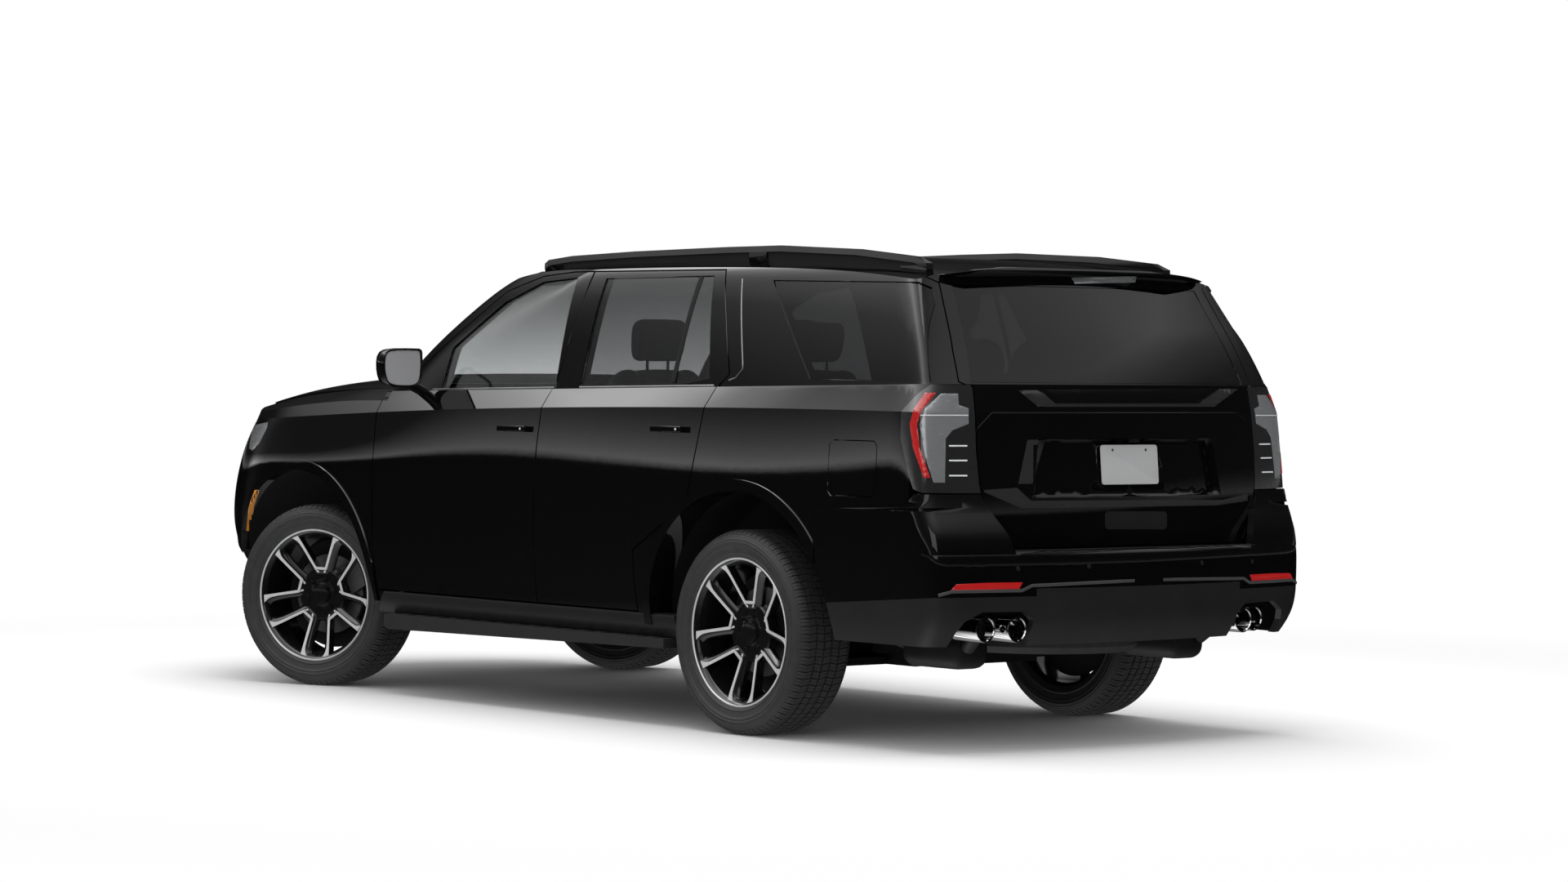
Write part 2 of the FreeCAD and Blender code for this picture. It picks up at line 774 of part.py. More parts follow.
# Tailgate, tail lamps and rear bumper.
gate_foot = 772
GATE_HALF = [(640, gate_foot), (662, 812), (722, 947), (735, 1010), (741, 1139), (733, 1378), (778, 1396),
             (764, 1500),
             (704, 1770), (752, 1792), (766, 1840), (700, CEILING)]
LAMP_LINE = [(-2419, 1382), (-2338, 1282), (-2340, 1184), (-2394, 1039), (-2417, 993), (-2450, 980),
             (-2800, 967),
             (-2800, 1384)]
BUMPER_SPLIT = [(-1880, 872), (-2303, 913), (-2342, 916), (-2399, 947), (-2440, 976), (-2800, 962)]
REAR_GLASS_HALF = [(728, 1392), (652, 1764)]


def gate_zone(grow=0.0):
    """The tailgate's opening, seen from behind."""
    line = grown(mirrored(GATE_HALF), grow) if grow else mirrored(GATE_HALF)
    return end_prism(line, -FAR, -2050)


before_gate = block((roof_back, FAR), (-FAR, FAR), (0, CEILING))
gate_wide = gate_zone(gap)
gate_space = gate_wide.cut(block((roof_back + gap, FAR), (-FAR, FAR), (0, CEILING)))
lip_depth = 14
gate_inside = lower_body(lip_depth,
                         380).cut(over_belt()).fuse(cabin_top(lip_depth, 4.0).common(roof_solid(lip_depth)))
gate = shell.common(gate_zone().cut(before_gate))
gate = gate.cut(gate_inside.cut(gate_zone(-9)))
rear_glass_zone = end_prism(mirrored(REAR_GLASS_HALF), -FAR, -2100)
gate = gate.cut(cabin_top(-20).common(rear_glass_zone).cut(cabin_top(8, 9.0)))
gate = gate.cut(end_prism(grown(mirrored(REAR_GLASS_HALF), -36), -FAR, -2000))
spoiler_side = [(roof_back, 1800), (roof_back - 1, 1836), (-2240, 1838), (-2306, 1832), (-2304, 1818),
                (-2240, 1794)]
spoiler = side_prism(spoiler_side, -690, 690).common(roof_solid(-4))
gate = gate.fuse(spoiler)
rear_window = pane(end_prism(grown(mirrored(REAR_GLASS_HALF), -1.5), -FAR, -2100), 8 - glass_wall - fit)
rear_window = main_solids(rear_window.cut(spoiler))
quarter_glass = pane(side_prism(grown(QUARTER_GLASS_LINE, -fit), 500, 1100)).cut(gate_zone(gap + 30 + fit))
windscreen = main_solids(pane(end_prism(grown(mirrored(WINDSCREEN_HALF), -fit), 200,
                                        FAR)).cut(roof_zone.cut(windscreen_zone)))

PLATE_RECESS = mirrored([(507, 959), (465, 1180)])
recess_depth = 34
gate = gate.cut(lower_body().cut(lower_body(recess_depth)).common(end_prism(PLATE_RECESS, -FAR, -2300)))
plate_pad = lower_body(recess_depth - 26).cut(lower_body(recess_depth + 2))
gate = gate.fuse(plate_pad.common(end_prism([(-165, 1000), (165, 1000), (165, 1166), (-165, 1166)], -FAR,
                                            -2300)))
gate = main_solids(gate)

lamp_depth = 88
lamp_zone = side_prism(LAMP_LINE, 500, 1300)
tail_lamp = main_solids(lower_body().cut(lower_body(lamp_depth)).common(lamp_zone).cut(gate_wide))


def bumper_skin(inset=0.0):
    """The rear bumper's own form: it bulges out under the tailgate to make the step."""
    rings = [
        low_ring(flat(404), 66, 962, 48, 44, 50, 206, 0.93, 0.95, inset),
        low_ring(flat(460), 24, 975, 26, 24, 30, 206, 0.95, 0.95, inset),
        low_ring(flat(540), 0, 986, 12, 10, 16, 86, 0.98, 1.0, inset),
        low_ring(flat(640), 0, 990, 2, 0, 4, 4, 1.0, 1.0, inset),
        low_ring(flat(725), 2, 992, -3, -3, -2, 0, 1.0, 1.0, inset),
        low_ring(flat(762), 10, 993, -5, -3, -2, -2, 1.0, 1.0, inset),
        low_ring(flat(775), 62, 993, -5, -3, -2, -2, 1.0, 1.0, inset),
        low_ring(flat(860), 68, 994, -5, -3, -2, 10, 1.0, 1.0, inset),
        low_ring(flat(1000), 78, 992, -4, -3, 0, 60, 1.0, 1.0, inset),
    ]
    return closed_skin([(rings, 2)])


bumper_zone = side_prism([(BUMPER_SPLIT[0][0], 300)] + BUMPER_SPLIT + [(-2800, 300)], -1300, 1300)
bumper_space = side_prism([(BUMPER_SPLIT[0][0] + 0.5, 300)] + [(x, z + 0.5) for x, z in BUMPER_SPLIT]
                          + [(-2800, 300)], 0, 1300)
PIPE_NOTCH = [(538, 380), (549, 501), (590, 534), (780, 536), (850, 500), (872, 459), (885, 380)]
rear_bumper = bumper_skin().cut(bumper_skin(panel_wall))
rear_bumper = rear_bumper.common(bumper_zone).common(block((-FAR, -1840), (-FAR, FAR), (0, 985)))
rear_bumper = rear_bumper.cut(gate_wide.fuse(block((-FAR, FAR), (-655, 655), (gate_foot - gap, 990))))
rear_bumper = rear_bumper.cut(arch(rear_axle, arch_radius, -1300, 1300))
for sign in (-1, 1):
    rear_bumper = rear_bumper.cut(end_prism([(sign * y, z) for y, z in PIPE_NOTCH], -FAR, -2300))
rear_bumper = main_solids(rear_bumper)

# The body side behind the fender, in one piece from the front post to the tail.
side = shell.common(block((-FAR, bulkhead_back), (0, FAR), (0, CEILING)))
side = side.fuse(shell.common(over_belt(6)).common(block(
    (bulkhead_back, 1290), (560, FAR), (0, CEILING))).cut(top_prism(grown(hood_plan(), gap), hood_lip - gap)))
side = side.cut(side_prism(grown(FRONT_DOOR_LINE, gap), 500))
rear_opening = side_prism(grown(REAR_DOOR_PLAN, gap), 500)
rear_opening = rear_opening.cut(arch(rear_axle, door_arch - gap, 400))
side = side.cut(rear_opening)
post = band(panel_wall + fit, door_wall).common(block((bulkhead_back, bulkhead_front - 4), (0, FAR),
                                                      (402, CEILING)))
sill_top = door_foot - gap - 2
sill = lower_body(panel_wall + fit, 402).cut(lower_body(door_wall, 400))
sill = sill.common(block((post_x - 60, bulkhead_front - 4), (0, FAR), (402, sill_top)))
floor_under = size("floor_height - floor_wall")
sill_depth = door_wall + gap + 2
sill_back = rear_axle + arch_radius + 15
inner_sill = lower_body(door_wall - 30, 402).cut(lower_body(sill_depth + 40, 400))
inner_sill = inner_sill.common(block((sill_back, bulkhead_back), (0, FAR), (404, sill_top)))
inner_wall = lower_body(sill_depth, 402).cut(lower_body(sill_depth + 40, 400))
inner_wall = inner_wall.common(block((sill_back, bulkhead_back), (0, FAR), (404, floor_under)))
side = side.fuse([post, sill, inner_sill, inner_wall])
side = side.cut([window(QUARTER_GLASS_LINE).cut(gate_zone(gap + 30)), arch(rear_axle, arch_radius, 0),
                 gate_space, windscreen_zone, roof_zone])
side = side.cut([side_prism(LAMP_LINE[:4] + [(-2399, 947), (-2440, 970), (-2800, 950), LAMP_LINE[-1]], 0,
                            1300), bumper_space])
fuel_space = side_prism(grown(FUEL_LINE, 4), 700, 1300).cut(lower_body(48))
side = side.cut(fuel_space)
pillar_x = (rear_post - 112, rear_post + 28)
link_rise = 34
middle_pillar = band(sill_depth, sill_depth + 32, frame_wall + gap, frame_wall + 34, link_rise)
middle_pillar = middle_pillar.common(block(pillar_x, (0, FAR), (404, CEILING)))
belt_here = belt_height - belt_slope * rear_post
pillar_link = block(pillar_x, (790, 880), (belt_here + 8, belt_here + link_rise - 1))
side = side.fuse([middle_pillar, pillar_link])
side = side.fuse(flare(rear_axle).cut(rear_opening).cut(bumper_space))
fuel_stop = lower_body(10.4).cut(lower_body(52)).common(side_prism([(-1990, 1040), (-1962, 1040),
                                                                    (-1962, 1080), (-1990, 1080)], 700, 1300))
side = main_solids(side.fuse(fuel_stop))
fuel_flap = lower_body().cut(lower_body(10)).common(side_prism(FUEL_LINE, 700, 1300))

# The front: fender, bumper, grille, headlamp, hood and cowl.
FRONT_SPLIT = [(2150, 380), (2150, 640), (2190, 900), (2196, 1006), (2190, 1010), (2190, hood_lip),
               (3000, hood_lip),
               (3000, 380)]
lamp_low, lamp_high, lamp_side = 1010, hood_lip - gap, 606
GRILLE_HALF = [(556, 640), (598, 700), (602, 1000), (598, lamp_high)]
front_zone = side_prism(FRONT_SPLIT, -1300, 1300)
hood_space = top_prism(grown(hood_plan(), gap), hood_lip - gap)
hood = main_solids(shell.common(top_prism(hood_plan(), hood_lip)))
post_room = lower_body(panel_wall + fit, 380).common(block((0, bulkhead_front), (-FAR, FAR), (0, CEILING)))
fender = shell.common(block((bulkhead_back + gap - 3, FAR), (0, FAR), (402, CEILING)))
fender = fender.cut([hood_space, front_zone, post_room, arch(front_axle, arch_radius, 0)])
fender = fender.cut(block((bulkhead_back, FAR), (-10, 846), (0, CEILING)))
fender = fender.cut(over_belt(6).common(block((0, 1290), (560, FAR), (0, CEILING))))
fender_flare = flare(front_axle).cut(block((0, post_x + gap), (0, FAR), (0, CEILING)))
fender = main_solids(fender.fuse(fender_flare.cut(front_zone)))
nose = shell.common(front_zone).cut(hood_space)
lamp_box = [block((1900, FAR), limits, (lamp_low - fit, hood_lip)) for limits in ((-FAR, -596), (596, FAR))]
front_bumper = nose.cut(lamp_box + [end_prism(mirrored([(0, 640)] + GRILLE_HALF + [(600, CEILING)])[1:-1],
                                              1900, FAR)])
front_bumper = front_bumper.cut(arch(front_axle, arch_radius, -1300, 1300))
for sign in (1, -1):
    part_flare = fender_flare.common(front_zone).common(block((0, FAR), (0, FAR), (0, 1000)))
    front_bumper = front_bumper.fuse(part_flare if sign > 0 else part_flare.mirror(V(0, 0, 0), V(0, 1, 0)))
front_bumper = main_solids(front_bumper)
headlamp = lower_body().cut(lower_body(lamp_depth)).common(front_zone)
headlamp = headlamp.common(block((1900, FAR), (lamp_side, FAR), (lamp_low + fit, lamp_high)))
headlamp = main_solids(headlamp.cut(hood_space))
grille_depth = 58
grille = lower_body(-3).cut(lower_body(grille_depth)).common(end_prism(
    grown(mirrored(GRILLE_HALF), -fit), 2000, FAR))
bar_count = 5
grille_low, grille_high = 664, lamp_high - 24
pitch = (grille_high - grille_low) / bar_count
slots = [block((2000, FAR), (-540, 540),
               (grille_low + pitch * i + 16, grille_low + pitch * (i + 1))) for i in range(bar_count)]
grille = main_solids(grille.cut(lower_body(-9).cut(lower_body(grille_depth - 14)).common(slots[0].fuse(slots[1:]))))

# The cowl and bulkhead, behind the hood and under the windscreen.
bulkhead = lower_body(door_wall + fit,
                      360).common(block((bulkhead_back, bulkhead_front), (-FAR, FAR), (floor_under, 1300)))
cowl = shell.common(block((bulkhead_back, 1420), (-845, 845), (cowl_underside - 10, CEILING)))
cowl = cowl.cut([hood_space, windscreen_zone])
cowl = cowl.cut([block((0, bulkhead_front - 3), limits, (0, 1400)) for limits in ((832, FAR), (-FAR, -832))])
cowl = cowl.cut([over_belt(6).common(block((0, 1291), limits, (0, CEILING))) for limits in (
    (560, FAR), (-FAR, -560))])
cowl = main_solids(cowl.fuse(bulkhead))

# Floor pan with the wheelhouses, pressed between the body sides.
floor_top = size("floor_height")
load_floor = floor_top + 140
floor_wall = size("floor_wall")
floor_edge = lower_body(sill_depth, 380)
load_edge = lower_body(door_wall + fit, 380)
riser_x = -960
floor = floor_edge.common(block((riser_x, bulkhead_back), (-FAR, FAR), (floor_under, floor_top)))
floor = floor.fuse(floor_edge.common(block((riser_x - floor_wall, riser_x), (-FAR, FAR),
                                           (floor_under, load_floor))))
load = load_edge.common(block((-2440, riser_x), (-FAR, FAR), (load_floor - floor_wall, load_floor)))
liner_wall = 10
floor = floor.fuse(load)
for sign in (1, -1):
    inner = sorted((sign * (670 - fit), sign * 1300))
    floor = floor.cut(arch(rear_axle, arch_radius + liner_wall + fit, *inner))
for half in (middle_pillar, middle_pillar.mirror(V(0, 0, 0), V(0, 1, 0))):
    floor = floor.cut(half)
rear_liner = arch(rear_axle, arch_radius + liner_wall, 670, 1300).cut(arch(rear_axle, arch_radius, 680, 1310))
rear_liner = rear_liner.common(load_edge)
rear_liner = main_solids(rear_liner.common(block((-FAR, FAR), (0, FAR), (440, CEILING))).cut(rear_opening))
front_room = lower_body(panel_wall + fit,
                        380).common(block((bulkhead_front, FAR), (0, FAR), (570, cowl_underside)))
front_liner = arch(front_axle, arch_radius + liner_wall, 480,
                   1300).cut(arch(front_axle, arch_radius, 490, 1310))
front_liner = front_liner.common(front_room)
front_liner = main_solids(front_liner)

# Rubber seals, half a millimetre from the closed doors, on the body side.
seal_gap = 0.5
door_seals = lower_body(door_wall + seal_gap).cut(lower_body(sill_depth + 6)).common(block((
    rear_post - 100, rear_post + 16), (0, FAR), (600, 1200)))
side = main_solids(side.fuse(door_seals))
gate_seal = lower_body(door_wall + seal_gap,
                       380).common(block((-2600, -2380), (-500, 500), (load_floor - floor_wall, 820)))
gate_seal = gate_seal.cut(lower_body(door_wall + 40, 370))
floor = main_solids(floor.fuse(gate_seal))
hood_stop = block((2300, 2322), (556, 584), (1150, 1300)).common(hood_solid(panel_wall + seal_gap))
hood_stop = hood_stop.fuse(block((2300, 2360), (556, 596), (1120, 1160)))
grille = main_solids(grille.fuse([hood_stop, hood_stop.mirror(V(0, 0, 0), V(0, 1, 0))]))

# Frame rails, cross members and body mounts.
rail_top = "rail_top"
rail_foot = "(rail_top - rail_height)"
REAR_RAIL = [
    ("1000", rail_foot),
    (f"{REAR_AXLE} + 440", rail_foot),
    (f"{REAR_AXLE} + 250", "496"),
    (f"{REAR_AXLE} - 350", "496"),
    (f"{REAR_AXLE} - 560", "440"),
    ("-overall_length / 2 + 140", "440"),
    ("-overall_length / 2 + 140", "560"),
    (f"{REAR_AXLE} - 560", "560"),
    (f"{REAR_AXLE} - 390", "floor_height + 126"),
    (f"{REAR_AXLE} + 270", "floor_height + 126"),
    (f"{REAR_AXLE} + 430", rail_top),
    ("1000", rail_top),
]
FRONT_RAIL = [("850", rail_foot), ("overall_length / 2 - 346", rail_foot),
              ("overall_length / 2 - 346", rail_top),
              ("850", rail_top)]
rear_low, rear_high = "rail_offset - rail_width / 2", "rail_offset + rail_width / 2"
front_low, front_high = "front_rail_offset - rail_width / 2", "front_rail_offset + rail_width / 2"
half_frame = [
    slab("RearRail", "side", REAR_RAIL, rear_low, rear_high),
    slab("FrontRail", "side", FRONT_RAIL, front_low, front_high),
    box("RailLink", ("850", front_low, rail_foot), ("150", f"{rear_high} - ({front_low})", "rail_height")),
]
for number, (x, y, low, high) in enumerate((
    (700, "rail_offset", rail_top, "floor_height - floor_wall"),
    (-300, "rail_offset", rail_top, "floor_height - floor_wall"),
)):
    half_frame.append(rod(f"BodyMount{number}", 36, low, high,
                          FreeCAD.Placement(V(x, size(y), 0), FreeCAD.Rotation())))
tower_foot = box("TowerFoot", (f"{FRONT_AXLE} - 106", front_low, rail_top), (210, "rail_width", 106))
arm_bracket = box("ArmBracket", (f"{FRONT_AXLE} - 196", front_low, 236),
                  (392, "rail_width", f"{rail_foot} - 236"))
half_frame += [tower_foot, arm_bracket]
half = join("HalfFrame", *half_frame)
CROSS_MEMBERS = [
    (f"{FRONT_AXLE} + 560", 70, rail_foot, f"{rail_foot} + 90", "front_rail_offset"),
    (f"{FRONT_AXLE} - 110", 220, rail_foot, f"{rail_foot} + 30", "front_rail_offset"),
    ("860", 100, f"{rail_foot} - 60", f"{rail_foot} - 20", "rail_offset"),
    (f"{REAR_AXLE} + 470", 60, f"{rail_foot} - 54", f"{rail_foot} + 6", "rail_offset"),
    (f"{REAR_AXLE} - 60", 120, "520", "600", "rail_offset"),
    ("-overall_length / 2 + 145", 60, "460", "550", "rail_offset"),
]
members = []
for number, (x, length, low, high, reach) in enumerate(CROSS_MEMBERS):
    members.append(box(f"CrossMember{number}", (x, f"-({reach})", low),
                       (length, f"2 * {reach}", f"({high}) - ({low})")))
drop_posts = []
for sign in (-1, 1):
    drop_posts.append(box(f"CrossDrop{sign + 1}", (860, sign * 455 - 25, 290), (100, 50, 70)))
bumper_beam = box("BumperBeam", ("-overall_length / 2 + 106", -500, 470), (80, 1000, 80))
front_beam = box("FrontBeam", ("overall_length / 2 - 350", -510, 396), (50, 1020, 76))
frame = join("Frame", half, other_side("HalfFrameRight", half), bumper_beam, front_beam, *members,
             *drop_posts)
keep("ladder_frame", frame)

# Engine and gearbox as one plain block, and the fuel tank.
member_top = f"{rail_foot} + 30"
engine = join(
    "EngineAndGearbox",
    box("Engine", (f"{FRONT_AXLE} - 416", -290, member_top), (600, 580, f"1150 - ({member_top})")),
    box("Gearbox", (650, -150, f"{rail_foot} - 20"), (620, 300, 150)),
)
keep("engine_block", engine)
tank = slab("Tank", "side", [(-860, 300), (-830, 270), (450, 270), (480, 300),
                             (480, "floor_height - floor_wall"),
                             (-860, "floor_height - floor_wall")], 130, 425)
keep("fuel_tank", tank)

# Wheels. Each is built about its own centre with Z pointing away from the vehicle.
HUB_BACK = -57.5
RIM_PROFILE = [
    ("hub_bore", HUB_BACK), ("hub_bore", 46), (0, 46), (0, 74.5), (44, 74.5), (48, 66), (115, 58),
    (256, 92), (272, 112),
    ("rim_radius + 4", "rim_face + 3"), ("rim_radius + 14", "rim_face + 3"),
    ("rim_radius + 14", "rim_face - 10"),
    ("rim_radius", "rim_face - 14"), ("rim_radius", "14 - rim_width / 2"),
    ("rim_radius + 14", "10 - rim_width / 2"),
    ("rim_radius + 14", "-rim_width / 2"), ("rim_radius + 2", "-rim_width / 2"),
    ("rim_radius - 13", "18 - rim_width / 2"),
    ("rim_radius - 13", 60), (250, 56), (115, 26), (84, 8), (84, -6), ("disc_radius", -6),
    ("disc_radius", -34),
    (84, -34), (84, HUB_BACK),
]
TYRE_PROFILE = [
    ("rim_radius + 0.3", "-rim_width / 2 + 14"), ("rim_radius + 15", "-rim_width / 2 + 11"),
    ("tyre_radius - 32", "-tyre_width / 2"), ("tyre_radius", "-tyre_width / 2 + 40"),
    ("tyre_radius", "tyre_width / 2 - 40"), ("tyre_radius - 32", "tyre_width / 2"),
    ("rim_radius + 15", "rim_width / 2 - 11"), ("rim_radius + 0.3", "rim_width / 2 - 14"),
]
WIDE_WINDOW = [("-20", "128"), ("-86", "258"), ("86", "258"), ("20", "128")]
NARROW_WINDOW = [("0", "132"), ("-33", "258"), ("33", "258")]


def wheel(name, place):
    """A rim with its hub and brake disc, and its tyre."""
    rim = turned(name + "Disc", RIM_PROFILE)
    rim.Placement = place
    tools = []
    spokes = int(size("spoke_count"))
    for number in range(spokes):
        for kind, outline, half_step in (("Wide", WIDE_WINDOW, 0), ("Narrow", NARROW_WINDOW, 0.5)):
            tool = slab(f"{name}{kind}{number}", "top", outline, 12, 120)
            turn = FreeCAD.Placement(V(0, 0, 0),
                                     FreeCAD.Rotation(V(0, 0, 1),
                                                      360 / spokes * (number + half_step) + rim_turn))
            tool.Placement = place.multiply(turn)
            tools.append(tool)
    openings = join(name + "Windows", *tools)
    tyre = turned(name + "Tyre", TYRE_PROFILE)
    tyre.Placement = place
    return cut(name + "Rim", rim, openings), tyre


rim_turn = 18
half_track, kingpin, rest_steer = size("half_track"), size("kingpin_offset"), size("rest_steer")


def steered(sign):
    """The place of a steering axis at hub height, turned to the rest angle."""
    return FreeCAD.Placement(V(front_axle, sign * kingpin, hub_height),
                             FreeCAD.Rotation(V(0, 0, 1), rest_steer))


def outward(sign):
    """A turn that points an own Z axis away from the vehicle's middle."""
    return FreeCAD.Rotation(V(0, 0, 1), V(0, sign, 0))


WHEELS = {}
for name, sign in (("left", 1), ("right", -1)):
    WHEELS[f"front_{name}"] = steered(sign).multiply(FreeCAD.Placement(V(
        0, sign * (half_track - kingpin), 0), outward(sign)))
    WHEELS[f"rear_{name}"] = FreeCAD.Placement(V(rear_axle, sign * half_track, hub_height), outward(sign))
for name, place in WHEELS.items():
    rim, tyre = wheel("Wheel" + name.title().replace("_", ""), place)
    keep(f"rim_{name}", rim)
    keep(f"tyre_{name}", tyre)


def caliper(name, place, sign):
    """A brake caliper that straddles the disc, up and behind the hub."""
    tilt = place.multiply(FreeCAD.Placement(V(0, 0, 0), FreeCAD.Rotation(V(0, 1, 0), -60)))
    y_low, y_high = sorted((sign * -58, sign * 14))
    bridge = box(name + "Body", (-62, y_low, 118), (124, y_high - y_low, 112), tilt)
    slot_low, slot_high = sorted((sign * -41, sign * 1))
    slot = box(name + "Slot", (-70, slot_low, 100), (140, slot_high - slot_low, "disc_radius + 8 - 100"),
               tilt)
    return cut(name, bridge, slot)


def upright(name, place, sign, track):
    """A wheel carrier with its spindle and caliper. track is from its own middle to the wheel."""
    y_low, y_high = sorted((sign * (track - 104), sign * (track - 66)))
    parts = [
        box(name + "Web", (-34, y_low, -140), (68, y_high - y_low, 277), place),
        rod(name + "Spindle", "hub_bore - bearing_gap", track - 104, track + 30,
            place.multiply(FreeCAD.Placement(V(0, 0, 0), outward(sign)))),
    ]
    caliper_place = place.multiply(FreeCAD.Placement(V(0, sign * track, 0), FreeCAD.Rotation()))
    arm_low, arm_high = sorted((sign * (track - 104), sign * (track - 58)))
    arm_place = place.multiply(FreeCAD.Placement(V(0, 0, 0), FreeCAD.Rotation(V(0, 1, 0), -60)))
    parts.append(box(name + "Ear", (-40, arm_low, 20), (80, arm_high - arm_low, 200), arm_place))
    parts.append(caliper(name + "Caliper", caliper_place, sign))
    return parts


joint_gap = 0.5
for name, sign in (("left", 1), ("right", -1)):
    title = "Knuckle" + name.title()
    place = steered(sign)
    parts = upright(title, place, sign, half_track - kingpin)
    parts.append(rod(title + "LowerBoss", 34, -140, -90, place))
    parts.append(rod(title + "UpperBoss", 34, 90, 137.5, place))
    keep(f"knuckle_front_{name}", join(title, *parts))


def control_arm(name, x, low, high, inner_y, inner_half, outer_y, eye):
    """A wishbone in plan, wide at the frame and narrow at the wheel carrier."""
    outline = [
        (f"{x} - {inner_half}", inner_y),
        (f"{x} + {inner_half}", inner_y),
        (f"{x} + {eye - 4}", outer_y),
        (f"{x} - {eye - 4}", outer_y),
    ]
    hole = [(f"{x} - {inner_half - 70}", inner_y + 44), (f"{x} + {inner_half - 70}", inner_y + 44),
            (f"{x}", outer_y - 96)]
    arm = slab(name + "Plate", "top", outline, low, high)
    return cut(name, arm, slab(name + "Hole", "top", hole, low - 1, high + 1))


front_x = front_axle
frame_side = size(front_high)
lower_arm = control_arm("FrontLowerArm", front_x, 232, 261.5, frame_side, 186, kingpin, 38)
lower_ball = rod("FrontLowerBall", 38, 232, 261.5,
                 FreeCAD.Placement(V(front_x, kingpin, 0), FreeCAD.Rotation()))
upper_arm = control_arm("FrontUpperArm", front_x, 540, 562, frame_side, 104, kingpin, 34)
upper_ball = rod("FrontUpperBall", 34, 540, 562,
                 FreeCAD.Placement(V(front_x, kingpin, 0), FreeCAD.Rotation()))
front_half = join("FrontHalfSuspension", lower_arm, lower_ball, upper_arm, upper_ball)
front_suspension = both("FrontSuspension", front_half)
keep("front_suspension", front_suspension)

# Rear suspension: final drive, half shafts, carriers, arms and the propeller shaft.
rear_x = rear_axle
rear_parts = []
for name, sign in (("Left", 1), ("Right", -1)):
    place = FreeCAD.Placement(V(rear_x, sign * (half_track - 74), hub_height), FreeCAD.Rotation())
    rear_parts += upright("RearCarrier" + name, place, sign, 74)
    rear_parts.append(rod(f"HalfShaft{name}", 26, 120, 770,
                          FreeCAD.Placement(V(rear_x, 0, hub_height), outward(sign))))
    y_low, y_high = sorted((sign * 300, sign * 800))
    rear_parts.append(box(f"RearArm{name}", (f"{REAR_AXLE} - 130", y_low, 262), (260, y_high - y_low, 30)))
    y_low, y_high = sorted((sign * 280, sign * 330))
    rear_parts.append(box(f"SubframeSide{name}", (f"{REAR_AXLE} - 300", y_low, 262),
                          (550, y_high - y_low, 60)))
    for number, x in enumerate((-300, 190)):
        y_low, y_high = sorted((sign * 280, sign * 500))
        rear_parts.append(box(f"SubframeFoot{name}{number}", (f"{REAR_AXLE} + {x}", y_low, 322),
                              (60, y_high - y_low, 40)))
        y_low, y_high = sorted((sign * 450, sign * 500))
        rear_parts.append(box(f"SubframePost{name}{number}", (f"{REAR_AXLE} + {x}", y_low, 322),
                              (60, y_high - y_low, 174)))
rear_parts.append(box("SubframeCross", (f"{REAR_AXLE} - 300", -330, 262), (60, 660, 60)))
rear_parts.append(box("SubframeCrossFront", (f"{REAR_AXLE} + 190", -330, 262), (60, 660, 60)))
rear_parts.append(box("FinalDrive", (f"{REAR_AXLE} - 120", -130, 290), (250, 260, 230)))
rear_parts.append(box("FinalDriveFoot", (f"{REAR_AXLE} - 250", -60, 262), (500, 120, 40)))
rear_parts.append(rod("PropShaft", 38, f"{REAR_AXLE} + 100", 640, along(0, 0, hub_height)))
keep("rear_suspension", join("RearSuspension", *rear_parts))


def pipe(name, radius, start, end):
    """A straight pipe between two points."""
    start, end = V(*start), V(*end)
    way = end.sub(start)
    place = FreeCAD.Placement(start, FreeCAD.Rotation(V(0, 0, 1), way))
    return rod(name, radius, 0, way.Length, place)


def ball(name, radius, centre):
    """A sphere, for a bend where two pipes meet."""
    item = DOC.addObject("Part::Sphere", name)
    item.Radius = radius
    item.Placement = FreeCAD.Placement(V(*centre), FreeCAD.Rotation())
    return item


# Exhaust: one pipe along the right side, a cross pipe behind the axle, two mufflers and four tips.
exhaust = [
    pipe("ExhaustFront", 32, (1250 - fit, -250, 430), (-960, -250, 430)),
    pipe("ExhaustRise", 32, (-960, -250, 430), (-1200, -350, 476)),
    pipe("ExhaustOver", 32, (-1200, -350, 476), (-1530, -350, 476)),
    pipe("ExhaustDrop", 31, (-1530, -350, 476), (-1600, -350, 440)),
    pipe("ExhaustCross", 30, (-1600, -575, 440), (-1600, 575, 440)),
    ball("ExhaustElbow0", 32, (-960, -250, 430)),
    ball("ExhaustElbow1", 32, (-1200, -350, 476)),
    ball("ExhaustElbow2", 32, (-1530, -350, 476)),
]
for name, sign in (("Left", 1), ("Right", -1)):
    exhaust.append(ball("ExhaustBend" + name, 30, (-1600, sign * 575, 440)))
    exhaust.append(pipe("MufflerPipe" + name, 30, (-1600, sign * 575, 440), (-2010, sign * 590, 370)))
    y_low, y_high = sorted((sign * 450, sign * 720))
    exhaust.append(box("Muffler" + name, (-2350, y_low, 285), (360, y_high - y_low, 150)))
    y_low, y_high = sorted((sign * 455, sign * 505))
    exhaust.append(box("MufflerHanger" + name, (-2200, y_low, 430), (40, y_high - y_low, 10)))
    exhaust.append(pipe("TipPipe" + name, 30, (-2330, sign * 640, 380), (-2440, sign * 660, 462)))
    y_low, y_high = sorted((sign * 607, sign * 720))
    exhaust.append(box("TipLink" + name, (-2450, y_low, 447), (30, y_high - y_low, 40)))
    for number, (y, rear) in enumerate(((607, -2592), (720, -2540))):
        tube = rod(f"Tip{name}{number}", 50, 0, -2420 - rear,
                   FreeCAD.Placement(V(rear, sign * y, 467), FreeCAD.Rotation(V(0, 0, 1), V(1, 0, 0))))
        bore = rod(f"TipBore{name}{number}", 42, 0, -2450 - rear,
                   FreeCAD.Placement(V(rear, sign * y, 467), FreeCAD.Rotation(V(0, 0, 1), V(1, 0, 0))))
        exhaust.append(cut(f"TipOpen{name}{number}", tube, bore))
keep("exhaust_system", join("Exhaust", *exhaust))

